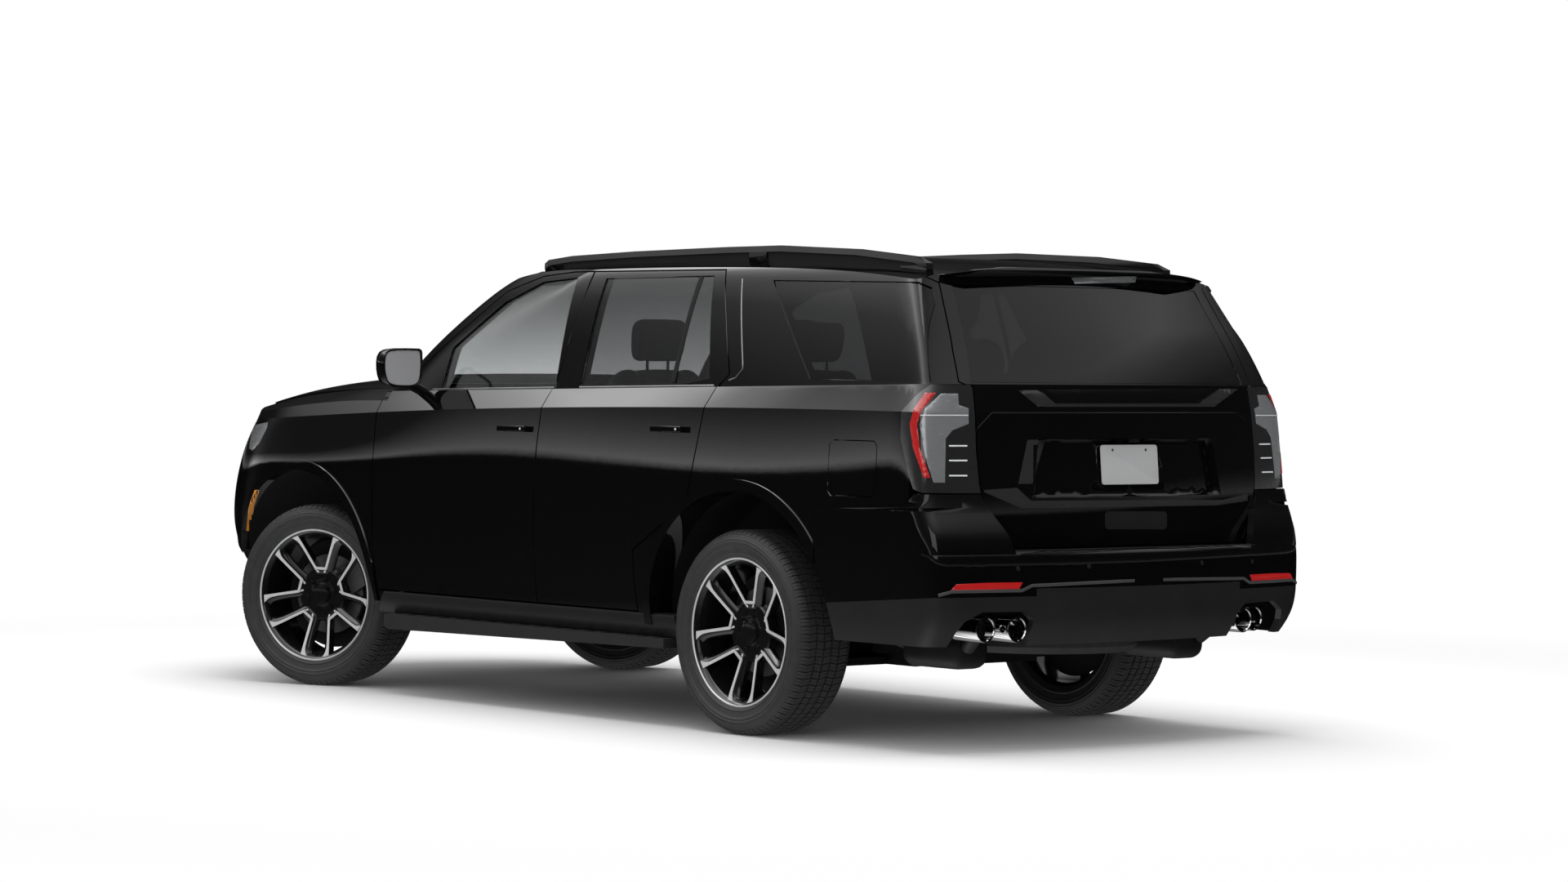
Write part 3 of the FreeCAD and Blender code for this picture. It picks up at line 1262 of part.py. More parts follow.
# Spare wheel on its winch post.
spare = turned("SparePart", [(0, -60), (200, -60), (250, -110), (370, -122), (390, -96), (390, 96),
                             (370, 122), (250, 110),
                             (200, 30), (60, 30), (60, 158), (0, 158)])
spare.Placement = FreeCAD.Placement(V(-2060, 0, 468), FreeCAD.Rotation())
keep("spare_wheel", spare)

# Running boards with their brackets, and the roof rails.
board = slab("BoardPlate", "side", [(-959, 314), (-959, 352), (996, 352), (996, 296), (960, 286)], 880, 1010)
brackets = [box(f"BoardBracket{x}", (x, 860, 340), (60, 70, 59.8)) for x in (-780, 0, 800)]
keep("running_boards", both("RunningBoards", join("BoardLeft", board, *brackets)))
RAIL_TOP_LINE = [(329, 1868), (300, 1884), (133, 1899), (-300, 1913), (-900, 1923), (-1240, 1925),
                 (-1700, 1905), (-2040, 1872),
                 (-2110, 1846)]
rail_bar = [(x, z - 24) for x, z in RAIL_TOP_LINE]
rail_line = slab("RailBar", "side", RAIL_TOP_LINE + rail_bar[::-1], 622, 658)
rail_feet = []
for number, (x, length, low) in enumerate(((-2110, 150, 1790), (-1150, 110, 1850), (210, 119, 1830))):
    rail_feet.append(box(f"RailFoot{number}", (x, 624, low),
                         (length, 32,
                          RAIL_TOP_LINE[0][1] - 8 - low if number == 2 else (46 if number == 0 else 60))))
left_rail = cut("RailOnRoof", join("RailLeft", rail_line, *rail_feet),
                free_form("RoofForm", roof_solid(-fit)))
keep("roof_rails", both("RoofRails", left_rail))

# Cabin: dash with console and column, seats and steering wheel.
WHEEL_CENTRE = V(500, 400, 1105)
COLUMN_TILT = math.radians(25)


def down_column(distance):
    """A point on the steering column's axis, that far in front of the wheel's centre."""
    return WHEEL_CENTRE.add(V(math.cos(COLUMN_TILT) * distance, 0, -math.sin(COLUMN_TILT) * distance))


dash = slab("Dash", "side", [(post_x + 3, 800), (780, 800), (640, 900), (600, 1060), (620, 1170),
                             (720, 1250), (post_x + 3, 1284)], -850, 850)
console = slab("Console", "side", [(800, "floor_height"), (-150, "floor_height"), (-150, 820), (-60, 860),
                                   (420, 820), (680, 1000), (800, 1000)], -150, 150)
wheel_boss = 34
column = pipe("Column", 26, down_column(wheel_boss + 0.5), down_column(320))
keep("dashboard", join("Dashboard", dash, console, column))
wheel_place = FreeCAD.Placement(WHEEL_CENTRE,
                                FreeCAD.Rotation(V(0, 0, 1),
                                                 V(-math.cos(COLUMN_TILT), 0, math.sin(COLUMN_TILT))))
ring = DOC.addObject("Part::Torus", "WheelRing")
ring.Radius1 = 178
ring.Radius2 = 15
ring.Placement = wheel_place
wheel_parts = [ring, rod("WheelBoss", 62, -wheel_boss, 12, wheel_place)]
for number, angle in enumerate((0, 120, 240)):
    spin = FreeCAD.Placement(V(0, 0, 0), FreeCAD.Rotation(V(0, 0, 1), angle + 40))
    wheel_parts.append(box(f"WheelSpoke{number}", (40, -18, -14), (140, 36, 18), wheel_place.multiply(spin)))
keep("steering_wheel", join("SteeringWheel", *wheel_parts))


def seat(name, x, floor, y_low, y_high):
    """A seat with its base, cushion, back and headrest. x is the rear of the cushion."""
    parts = [
        slab(name + "Base", "side",
             [(x + 40, floor), (x + 440, floor), (x + 440, floor + 110), (x + 40, floor + 90)], y_low + 60,
             y_high - 60),
        slab(name + "Cushion", "side",
             [(x - 20, floor + 90), (x + 500, floor + 110), (x + 520, floor + 250), (x + 470, floor + 270),
              (x, floor + 230)], y_low, y_high),
        slab(name + "Back", "side",
             [(x - 40, floor + 110), (x + 60, floor + 230), (x - 50, floor + 820), (x - 110, floor + 870),
              (x - 190, floor + 850), (x - 120, floor + 260)], y_low + 10, y_high - 10),
        slab(name + "Headrest", "side",
             [(x - 150, floor + 840), (x - 90, floor + 850), (x - 100, floor + 1040),
              (x - 150, floor + 1060), (x - 190, floor + 1040)], (y_low + y_high) / 2 - 140,
              (y_low + y_high) / 2 + 140),
    ]
    return join(name, *parts)


front_seats = [seat("SeatFrontLeft", -40, floor_top, 180, 700),
               seat("SeatFrontRight", -40, floor_top, -700, -180)]
keep("front_seats", group("FrontSeats", *front_seats))
second_row = [seat("SeatSecondLeft", -850, floor_top, 140, 660),
              seat("SeatSecondRight", -850, floor_top, -660, -140)]
third_row = [seat("SeatThirdLeft", -1740, load_floor, 20, 620),
             seat("SeatThirdRight", -1740, load_floor, -620, -20)]
keep("rear_seats", group("RearSeats", *second_row, *third_row))

# The free-form pieces join the document, and the right side mirrors the left.
SINGLE = {"roof_panel": roof, "hood": hood, "liftgate": gate, "rear_window": rear_window,
          "rear_bumper": rear_bumper,
          "cowl_bulkhead": cowl, "front_bumper": front_bumper, "fuel_flap": fuel_flap}
for label, shape in SINGLE.items():
    keep(label, free_form(label.title().replace("_", ""), shape))
keep("floor_pan", free_form("Floor", floor))
LINERS = [both(f"{end}Liners", free_form(f"{end}Liner", shape)) for end,
          shape in (("Rear", rear_liner), ("Front", front_liner))]
keep("wheel_liners", group("WheelLiners", *LINERS))
keep("grille", free_form("Grille", grille))
PAIRS = {"body_sides": side, "front_fenders": fender, "headlamps": headlamp, "tail_lamps": tail_lamp}
for label, shape in PAIRS.items():
    keep(label, both(label.title().replace("_", ""),
                     free_form(label.title().replace("_", "") + "Left", shape)))
quarter = free_form("QuarterGlass", quarter_glass)
keep("fixed_glass", group("FixedGlass", free_form("Windscreen", windscreen), quarter,
                          other_side("QuarterGlassRight", quarter)))
DOORS = {"front_door": front_door, "rear_door": rear_door, "front_glass": front_door_glass,
         "rear_glass": rear_door_glass, "mirror": mirror}
for label, shape in DOORS.items():
    item = keep(f"{label}_left", free_form(label.title().replace("_", "") + "Left", shape))
    keep(f"{label}_right", other_side(label.title().replace("_", "") + "Right", item))

DOC.recompute()
for item in DOC.Objects:
    if "Invalid" in item.State or "Error" in item.State:
        raise RuntimeError(f"{item.Name} did not build: {item.State}")
for label, item in NODES.items():
    if item.Shape.isNull() or not item.Shape.isValid() or not item.Shape.Solids:
        raise RuntimeError(f"{label} has no sound solid")

if __name__ == "__main__":
    os.makedirs("parts", exist_ok=True)
    for label, item in NODES.items():
        item.Shape.exportStep(f"parts/{label}.step")
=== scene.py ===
import json
import math

import bmesh
import bpy
import numpy as np
from bpy.props import FloatProperty, FloatVectorProperty, IntProperty
from mathutils import Matrix, Vector
from mathutils.bvhtree import BVHTree
from mathutils.kdtree import KDTree


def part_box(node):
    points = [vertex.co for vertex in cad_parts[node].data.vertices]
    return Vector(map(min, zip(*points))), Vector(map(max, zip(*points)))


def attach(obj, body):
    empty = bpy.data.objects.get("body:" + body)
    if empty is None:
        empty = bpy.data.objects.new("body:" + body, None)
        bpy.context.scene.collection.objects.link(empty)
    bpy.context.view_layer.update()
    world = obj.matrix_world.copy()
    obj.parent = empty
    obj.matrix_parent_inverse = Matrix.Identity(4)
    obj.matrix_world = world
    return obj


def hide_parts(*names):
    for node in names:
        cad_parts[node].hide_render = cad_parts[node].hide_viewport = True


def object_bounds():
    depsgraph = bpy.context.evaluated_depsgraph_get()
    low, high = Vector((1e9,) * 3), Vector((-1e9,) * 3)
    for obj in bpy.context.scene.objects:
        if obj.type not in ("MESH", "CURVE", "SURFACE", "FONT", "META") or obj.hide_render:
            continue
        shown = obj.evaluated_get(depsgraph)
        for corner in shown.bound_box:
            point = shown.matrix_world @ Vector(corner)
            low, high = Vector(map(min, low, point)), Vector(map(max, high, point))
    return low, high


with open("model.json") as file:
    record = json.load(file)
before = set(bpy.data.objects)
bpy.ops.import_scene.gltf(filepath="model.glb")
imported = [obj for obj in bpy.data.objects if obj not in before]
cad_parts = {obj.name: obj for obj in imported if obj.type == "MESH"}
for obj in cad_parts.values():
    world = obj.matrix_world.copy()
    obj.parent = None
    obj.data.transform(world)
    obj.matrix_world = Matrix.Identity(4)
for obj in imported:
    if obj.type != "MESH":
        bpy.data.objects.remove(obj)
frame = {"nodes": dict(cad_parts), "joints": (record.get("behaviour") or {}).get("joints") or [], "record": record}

bl_info = {
    "name": "Sport Utility Vehicle Dressing",
    "version": (1, 0, 0),
    "blender": (4, 5, 0),
    "location": "View3D > Sidebar > Vehicle",
    "description": "Paint, glass, wheels, lamps, trim and cabin of a full-size sport utility vehicle",
    "category": "Object",
}

CAD_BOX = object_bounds()
MM = 0.001
JOINTS = {joint["name"]: joint for joint in frame["joints"]}
BODY_OF = {node: body for body, nodes in frame["record"]["behaviour"]["bodies"].items() for node in nodes}
REAR_AXLE = JOINTS["rear_wheel_left_spin"]["pos_m"][0] / MM
FRONT_AXLE = JOINTS["steer_left"]["pos_m"][0] / MM
HALF_LENGTH = -CAD_BOX[0].x / MM
HALF_WIDTH = JOINTS["front_door_left_hinge"]["pos_m"][1] / MM + 1
BELT = 1336
BELT_SLOPE = 0.02
CROWN = 1896

# The camera stands behind the left rear corner at eye height.
CAMERA_PLACE = Vector((-14.383, 11.611, 1.4656))
CAMERA_YAW, CAMERA_PITCH, CAMERA_ROLL = (math.radians(a) for a in (-39.88, -1.07, 0.635))
FOCAL_PIXELS = 5259.0
PICTURE = (1920, 1080)
SENSOR = 36.0


# Sizes and colours that a user would change.

class VehicleSizes(bpy.types.PropertyGroup):
    """Sizes of the trim, tyres and lamps"""
    tread_depth: FloatProperty(name="Tread depth", description="Depth of the tyre's grooves", default=0.008,
                               min=0.002, max=0.015, unit="LENGTH")
    tread_pitches: IntProperty(name="Tread pitches", description="Blocks around the tyre", default=84,
                               min=40, max=120)
    moulding: FloatProperty(name="Belt moulding", description="Height of the moulding under the side windows",
                            default=0.014, min=0.005, max=0.03, unit="LENGTH")
    rim_line: FloatProperty(name="Machined line", description="Width of the bright lines on the spokes",
                            default=0.0115, min=0.004, max=0.02, unit="LENGTH")
    sensor: FloatProperty(name="Parking sensor", description="Radius of a sensor in the rear bumper",
                          default=0.009,
                          min=0.004, max=0.02, unit="LENGTH")
    plate_width: FloatProperty(name="Plate width", description="Width of the blank plate", default=0.3048,
                               min=0.2, max=0.52, unit="LENGTH")
    plate_height: FloatProperty(name="Plate height", description="Height of the blank plate", default=0.1524,
                                min=0.1, max=0.2, unit="LENGTH")


def colour(name, text, value):
    """A colour that a user can change."""
    return FloatVectorProperty(name=name, description=text, default=value, size=3, min=0, max=1,
                               subtype="COLOR")


class VehicleColours(bpy.types.PropertyGroup):
    """Colours of the paint, glass, lamps and cabin"""
    paint: colour("Paint", "Body colour under the clear coat", (0.0022, 0.0022, 0.0026))
    front_tint: colour("Front glass", "What the front glass lets through", (0.72, 0.74, 0.74))
    rear_tint: colour("Privacy glass", "What the rear door glass lets through", (0.3, 0.305, 0.31))
    dark_tint: colour("Dark glass", "What the quarter and rear glass let through", (0.035, 0.036, 0.037))
    red_lens: colour("Red lens", "Colour of the red lamps and reflectors", (0.5, 0.012, 0.012))
    amber_lens: colour("Amber lens", "Colour of the side markers", (0.75, 0.27, 0.01))
    leather: colour("Leather", "Colour of the seats", (0.018, 0.017, 0.017))


def sizes():
    """The sizes set on the scene."""
    return bpy.context.scene.vehicle_sizes


def colours():
    """The colours set on the scene."""
    return bpy.context.scene.vehicle_colours


# Finishes. Each is built once, when a piece first asks for it.

FINISHES = {}


def shader(name):
    """A new material with its Principled shader and Object coordinates."""
    material = bpy.data.materials.new(name)
    material.use_nodes = True
    tree = material.node_tree
    principled = tree.nodes["Principled BSDF"]
    coordinates = tree.nodes.new("ShaderNodeTexCoord")
    return material, tree, principled, coordinates.outputs["Object"]


def grain(tree, where, scale, detail=3.0, kind="noise", stretch=None):
    """A procedural pattern in object space. Returns its value."""
    if stretch:
        mapping = tree.nodes.new("ShaderNodeMapping")
        mapping.inputs["Scale"].default_value = stretch
        tree.links.new(where, mapping.inputs["Vector"])
        where = mapping.outputs["Vector"]
    if kind == "noise":
        node = tree.nodes.new("ShaderNodeTexNoise")
        node.inputs["Detail"].default_value = detail
    else:
        node = tree.nodes.new("ShaderNodeTexVoronoi")
        if kind == "cracks":
            node.feature = "DISTANCE_TO_EDGE"
    node.inputs["Scale"].default_value = scale
    tree.links.new(where, node.inputs["Vector"])
    return node.outputs["Fac" if kind == "noise" else "Distance"]


def ranged(tree, value, source=(0.0, 1.0), target=(0.0, 1.0), smooth=False):
    """A value moved from one range into another."""
    node = tree.nodes.new("ShaderNodeMapRange")
    if smooth:
        node.interpolation_type = "SMOOTHSTEP"
    node.inputs["From Min"].default_value, node.inputs["From Max"].default_value = source
    node.inputs["To Min"].default_value, node.inputs["To Max"].default_value = target
    tree.links.new(value, node.inputs["Value"])
    return node.outputs["Result"]


def worked_out(tree, operation, *values):
    """The result of a sum over values, each a number or another node's output."""
    node = tree.nodes.new("ShaderNodeMath")
    node.operation = operation
    for socket, value in zip(node.inputs, values):
        if isinstance(value, float):
            socket.default_value = value
        else:
            tree.links.new(value, socket)
    return node.outputs[0]


def mixed(tree, share, first, second):
    """A colour between two others."""
    node = tree.nodes.new("ShaderNodeMix")
    node.data_type = "RGBA"
    tree.links.new(share, node.inputs["Factor"])
    node.inputs["A"].default_value = [*first, 1]
    node.inputs["B"].default_value = [*second, 1]
    return node.outputs["Result"]


def set_inputs(node, **levels):
    """Sets a node's inputs, named with _ for each space."""
    for name, level in levels.items():
        node.inputs[name.replace("_", " ")].default_value = level


# Most of a pattern's values lie between these.
PATTERN_RANGE = (0.3, 0.7)


def roughen(tree, pattern, principled, low, high):
    """A roughness that varies with a pattern."""
    tree.links.new(ranged(tree, pattern, PATTERN_RANGE, (low, high)), principled.inputs["Roughness"])


def raise_grain(tree, value, principled, strength, depth):
    """A bump from a pattern."""
    node = tree.nodes.new("ShaderNodeBump")
    set_inputs(node, Strength=strength, Distance=depth)
    tree.links.new(value, node.inputs["Height"])
    tree.links.new(node.outputs["Normal"], principled.inputs["Normal"])


def vary(tree, value, principled, tint, amount):
    """A colour that varies a little with a pattern."""
    darker, lighter = [c * (1 - amount) for c in tint], [min(1, c * (1 + amount)) for c in tint]
    tree.links.new(mixed(tree, value, darker, lighter), principled.inputs["Base Color"])


def set_tint(tint):
    """A colour as it is, or the user's colour of that name."""
    return tuple(getattr(colours(), tint)) if isinstance(tint, str) else tint


def plain_finish(name, tint, rough, metal=0.0, scale=300.0, bump=0.1, depth=0.0004, spread_by=0.06,
                 amount=0.2, coat=0.0, kind="noise", stretch=None, specular=0.5):
    """A solid finish with its own grain, roughness and small change of colour."""
    material, tree, principled, where = shader(name)
    pattern = grain(tree, where, scale, kind=kind, stretch=stretch)
    clouds = grain(tree, where, 9.0)
    vary(tree, clouds, principled, set_tint(tint), amount)
    roughen(tree, pattern, principled, max(0.02, rough - spread_by), rough + spread_by)
    set_inputs(principled, Metallic=metal, Specular_IOR_Level=specular, Coat_Weight=coat, Coat_Roughness=0.03)
    raise_grain(tree, pattern, principled, bump, depth)
    return material


def paint_finish(name, tint, rough=0.02):
    """Gloss paint under a clear coat, with the faint ripple of a sprayed surface."""
    material, tree, principled, where = shader(name)
    vary(tree, grain(tree, where, 2600.0, detail=0.0), principled, set_tint(tint), 0.35)
    ripple = grain(tree, where, 70.0, detail=1.0)
    roughen(tree, grain(tree, where, 6.0), principled, rough, rough + 0.012)
    set_inputs(principled, Specular_IOR_Level=0.5)
    raise_grain(tree, ripple, principled, 0.012, 0.0006)
    return material


# Heights between which the glass darkens, in metres: painted shade for the roof's shadow over the cabin behind it.
SHADE_HEIGHTS = (1.36, 1.8)


def glass_finish(name, tint, shade=1.0):
    """Tinted safety glass, a little uneven as drawn glass is, and darker towards its top by the given factor:
    painted shade for the roof's shadow over the cabin behind it.
    """
    material, tree, principled, where = shader(name)
    split = tree.nodes.new("ShaderNodeSeparateXYZ")
    tree.links.new(where, split.inputs["Vector"])
    height = ranged(tree, split.outputs["Z"], SHADE_HEIGHTS)
    cloud = worked_out(tree, "MULTIPLY_ADD", grain(tree, where, 3.0), 0.06, height)
    tint = set_tint(tint)
    tree.links.new(mixed(tree, cloud, tint, [c * shade for c in tint]), principled.inputs["Base Color"])
    set_inputs(principled, Transmission_Weight=1.0, Roughness=0.0, IOR=1.45)
    raise_grain(tree, grain(tree, where, 4.0, detail=0.0), principled, 0.02, 0.001)
    return material


def leather_finish(name, tint):
    """Leather with pebbled grain and wear."""
    material, tree, principled, where = shader(name)
    pebbles = grain(tree, where, 420.0, kind="cracks")
    vary(tree, grain(tree, where, 14.0), principled, set_tint(tint), 0.3)
    roughen(tree, grain(tree, where, 60.0), principled, 0.42, 0.58)
    set_inputs(principled, Specular_IOR_Level=0.35)
    raise_grain(tree, pebbles, principled, 0.35, 0.0006)
    return material


def tyre_finish(name):
    """Black rubber with the fine rings of its mould and a dusty bloom."""
    material, tree, principled, where = shader(name)
    vary(tree, grain(tree, where, 24.0), principled, (0.03, 0.03, 0.031), 0.3)
    fine = grain(tree, where, 900.0)
    roughen(tree, fine, principled, 0.5, 0.68)
    set_inputs(principled, Specular_IOR_Level=0.4)
    raise_grain(tree, fine, principled, 0.3, 0.0004)
    return material


def machined_finish(name):
    """Aluminium turned on a lathe, with fine tool lines under a clear lacquer."""
    material, tree, principled, where = shader(name)
    lines = grain(tree, where, 700.0, detail=1.0)
    vary(tree, lines, principled, (0.82, 0.82, 0.83), 0.05)
    set_inputs(principled, Metallic=0.35)
    roughen(tree, lines, principled, 0.24, 0.36)
    raise_grain(tree, lines, principled, 0.08, 0.0002)
    return material


def later(build, *given, **more):
    """A finish that is built when a piece first asks for it."""
    return lambda name: build(name, *given, **more)


MAKERS = {
    "paint": later(paint_finish, "paint"),
    "gloss_black": later(paint_finish, (0.003, 0.003, 0.0034), 0.06),
    # A grey paint lighter than the body: a painted highlight for the lit bevel along the rear bumper's edge.
    "light_trim": later(paint_finish, (0.05, 0.05, 0.052), 0.2),
    # This grey also paints the painted highlights on the liftgate's wall and shelf.
    "dark_grey": later(paint_finish, (0.024, 0.024, 0.025), 0.16),
    "satin_black": later(plain_finish, (0.0105, 0.0105, 0.011), 0.42, scale=900, bump=0.25, specular=0.35),
    "valance": later(plain_finish, (0.013, 0.013, 0.0135), 0.38, scale=1100, bump=0.2, specular=0.4),
    "board": later(plain_finish, (0.02, 0.02, 0.021), 0.5, scale=700, bump=0.4, specular=0.4),
    "rubber": later(plain_finish, (0.006, 0.006, 0.006), 0.7, scale=500, bump=0.3, specular=0.25),
    "satin_bright": later(plain_finish, (0.17, 0.17, 0.175), 0.3, metal=0.9, scale=600, bump=0.05),
    "chrome": later(plain_finish, (0.72, 0.72, 0.73), 0.06, metal=1.0, scale=40, bump=0.02,
                    spread_by=0.02, amount=0.02),
    "machined": machined_finish,
    "rim_black": later(paint_finish, (0.006, 0.006, 0.0065), 0.12),
    "brake_disc": later(plain_finish, (0.33, 0.33, 0.335), 0.34, metal=0.9, scale=260, bump=0.25,
                        amount=0.15),
    "cast": later(plain_finish, (0.2, 0.2, 0.205), 0.5, metal=0.7, scale=240, bump=0.5, depth=0.0008),
    "chassis": later(plain_finish, (0.008, 0.008, 0.0085), 0.55, scale=180, bump=0.4, depth=0.0008,
                     specular=0.3),
    "underbody": later(plain_finish, (0.007, 0.007, 0.0072), 0.75, scale=120, bump=0.5, depth=0.001,
                       specular=0.2),
    "engine_metal": later(plain_finish, (0.2, 0.2, 0.21), 0.5, metal=0.8, scale=160, bump=0.5),
    "exhaust": later(plain_finish, (0.012, 0.012, 0.012), 0.5, metal=0.3, scale=90, bump=0.3, amount=0.4),
    "tyre": tyre_finish,
    "cabin": later(plain_finish, (0.013, 0.013, 0.0135), 0.6, scale=800, bump=0.35, kind="cracks",
                   specular=0.3),
    "headliner": later(plain_finish, (0.05, 0.05, 0.05), 0.9, scale=1400, bump=0.5, specular=0.1),
    "carpet": later(plain_finish, (0.012, 0.012, 0.012), 0.95, scale=1600, bump=0.9, depth=0.002,
                    specular=0.05),
    "leather": later(leather_finish, "leather"),
    "leather_black": later(leather_finish, (0.008, 0.008, 0.008)),
    # The door glass darkens towards its top: painted shade for the roof's shadow in the cabin.
    "front_glass": later(glass_finish, "front_tint", shade=0.42),
    "rear_glass": later(glass_finish, "rear_tint", shade=0.6),
    "dark_glass": later(glass_finish, "dark_tint"),
    "red_lens": later(plain_finish, "red_lens", 0.12, scale=260, bump=0.3, kind="cells", coat=1.0),
    "amber_lens": later(plain_finish, "amber_lens", 0.12, scale=260, bump=0.3, kind="cells", coat=1.0),
    "smoke": later(plain_finish, (0.017, 0.017, 0.018), 0.1, scale=50, bump=0.02, coat=1.0, amount=0.1),
    "reflector": later(plain_finish, (0.34, 0.35, 0.36), 0.22, metal=0.55, scale=120, bump=0.12,
                       coat=1.0, stretch=(0.2, 0.2, 2.0), amount=0.1),
    "light_bar": later(plain_finish, (0.78, 0.79, 0.8), 0.2, scale=200, bump=0.1, coat=1.0, amount=0.03),
    "plate": later(plain_finish, (0.5, 0.505, 0.51), 0.38, metal=0.15, scale=300, bump=0.1, amount=0.05),
    "mirror": later(plain_finish, (0.42, 0.42, 0.43), 0.22, metal=0.3, scale=3, bump=0.01,
                    spread_by=0.02, amount=0.05, coat=1.0),
    "spare_rubber": tyre_finish,
}


def finish(name):
    """The material of that name."""
    if name not in FINISHES:
        FINISHES[name] = MAKERS[name](name)
    return FINISHES[name]


# Pieces.

def mesh_of(name, bm):
    """A finished bmesh as a mesh."""
    mesh = bpy.data.meshes.new(name)
    bm.to_mesh(mesh)
    bm.free()
    return mesh


def placed(name, data):
    """A new object in the scene."""
    obj = bpy.data.objects.new(name, data)
    bpy.context.scene.collection.objects.link(obj)
    return obj


def placing(x, y, z, centre):
    """The matrix that lays a piece's own axes along x, y and z, and its own origin on the centre."""
    return Matrix([*zip((*x, 0), (*y, 0), (*z, 0), (*centre, 1))])


def smoothed(mesh, sharp):
    """Smooth shading with sharp edges above an angle in degrees."""
    mesh.shade_smooth()
    mesh.set_sharp_from_angle(angle=math.radians(sharp))


def dress(node, kind):
    """Gives a construction piece its finish."""
    materials = frame["nodes"][node].data.materials
    materials.clear()
    materials.append(finish(kind))


def turns(count):
    """Angles evenly round a circle."""
    return np.linspace(0, 2 * math.pi, count + 1)[:-1]


def settle(obj, body, replaces=()):
    """Hangs a finished piece on its body."""
    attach(obj, body)
    if replaces:
        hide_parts(*replaces)
    return obj


def make(name, bm, finishes, body, replaces=(), sharp=35.0):
    """A piece from a bmesh in the vehicle's frame, kept from standing out behind the construction."""
    bmesh.ops.recalc_face_normals(bm, faces=bm.faces)
    for v in bm.verts:
        v.co.x = max(v.co.x, CAD_BOX[0].x)
    mesh = mesh_of(name, bm)
    for kind in finishes:
        mesh.materials.append(finish(kind))
    smoothed(mesh, sharp)
    return settle(placed(name, mesh), body, replaces)


def add_faces(bm, corners, material):
    """A face over each set of corners."""
    for points in corners:
        bm.faces.new(points).material_index = material


def spun(bm, profile, steps, place, material=0):
    """A ring of quads: a profile of (radius, along) turned about an own Z axis."""
    rows = []
    for step in range(steps):
        turn = 2 * math.pi * step / steps
        rows.append([bm.verts.new(place @ Vector((r * math.cos(turn), r * math.sin(turn), z))) for r,
                     z in profile])
    for here, after in zip(rows, rows[1:] + rows[:1]):
        corners = zip(here, after, after[1:] + after[:1], here[1:] + here[:1])
        add_faces(bm, corners, material)


def prism(bm, outline, low, high, place=Matrix.Identity(4), inset=0.0, lift=0.0):
    """A flat piece with a bevelled top: an outline in its own XY plane from low to high."""
    centre = Vector((sum(p[0] for p in outline), sum(p[1] for p in outline))) / len(outline)
    rings = [[(x, y, low) for x, y in outline], [(x, y, high - lift) for x, y in outline]]
    if inset:
        top = []
        for x, y in outline:
            way = Vector((x, y)) - centre
            reach = max(way.length, 1e-6)
            top.append((x - way.x / reach * inset, y - way.y / reach * inset, high))
        rings.append(top)
    lofted(bm, [[place @ Vector(p) for p in ring] for ring in rings])


def rounded_box(bm, low, high, radius, segments=3, material=0):
    """A box with rounded edges."""
    made = bmesh.ops.create_cube(bm, size=1.0)
    centre = (Vector(low) + Vector(high)) / 2
    sides = Vector(high) - Vector(low)
    for v in made["verts"]:
        v.co = Vector([v.co[i] * sides[i] + centre[i] for i in range(3)])
    edges = list({e for v in made["verts"] for e in v.link_edges})
    before = set(bm.faces)
    bmesh.ops.bevel(bm, geom=edges, offset=radius, segments=segments, profile=0.5, affect="EDGES")
    for face in set(bm.faces) - before | {f for v in made["verts"] if v.is_valid for f in v.link_faces}:
        face.material_index = material


def lofted(bm, rings, material=0):
    """A tube through rings of points, with its ends closed."""
    made = [[bm.verts.new(p) for p in ring] for ring in rings]
    for here, after in zip(made, made[1:]):
        corners = zip(here, here[1:] + here[:1], after[1:] + after[:1], after)
        add_faces(bm, corners, material)
    add_faces(bm, (made[0][::-1], made[-1]), material)


# The smooth skins that the panels follow, as nets of control points.

def even_knots(count, degree):
    """Clamped, evenly spaced knots."""
    inner = count - degree - 1
    middle = np.arange(1, inner + 1) / (inner + 1)
    return np.concatenate([np.zeros(degree + 1), middle, np.ones(degree + 1)])


def weights(count, degree, t):
    """How much each control point counts at each parameter."""
    knots = even_knots(count, degree)
    t = np.clip(t, 0.0, 1.0 - 1e-9)[:, None]
    share = ((knots[:-1] <= t) & (t < knots[1:])).astype(float)
    for d in range(1, degree + 1):
        rise = knots[d:-1] - knots[:-d - 1]
        fall = knots[d + 1:] - knots[1:-d]
        up = np.where(rise > 0, (t - knots[:-d - 1]) / np.where(rise > 0, rise, 1), 0)
        down = np.where(fall > 0, (knots[d + 1:] - t) / np.where(fall > 0, fall, 1), 0)
        share = up * share[:, :-1] + down * share[:, 1:]
    return share


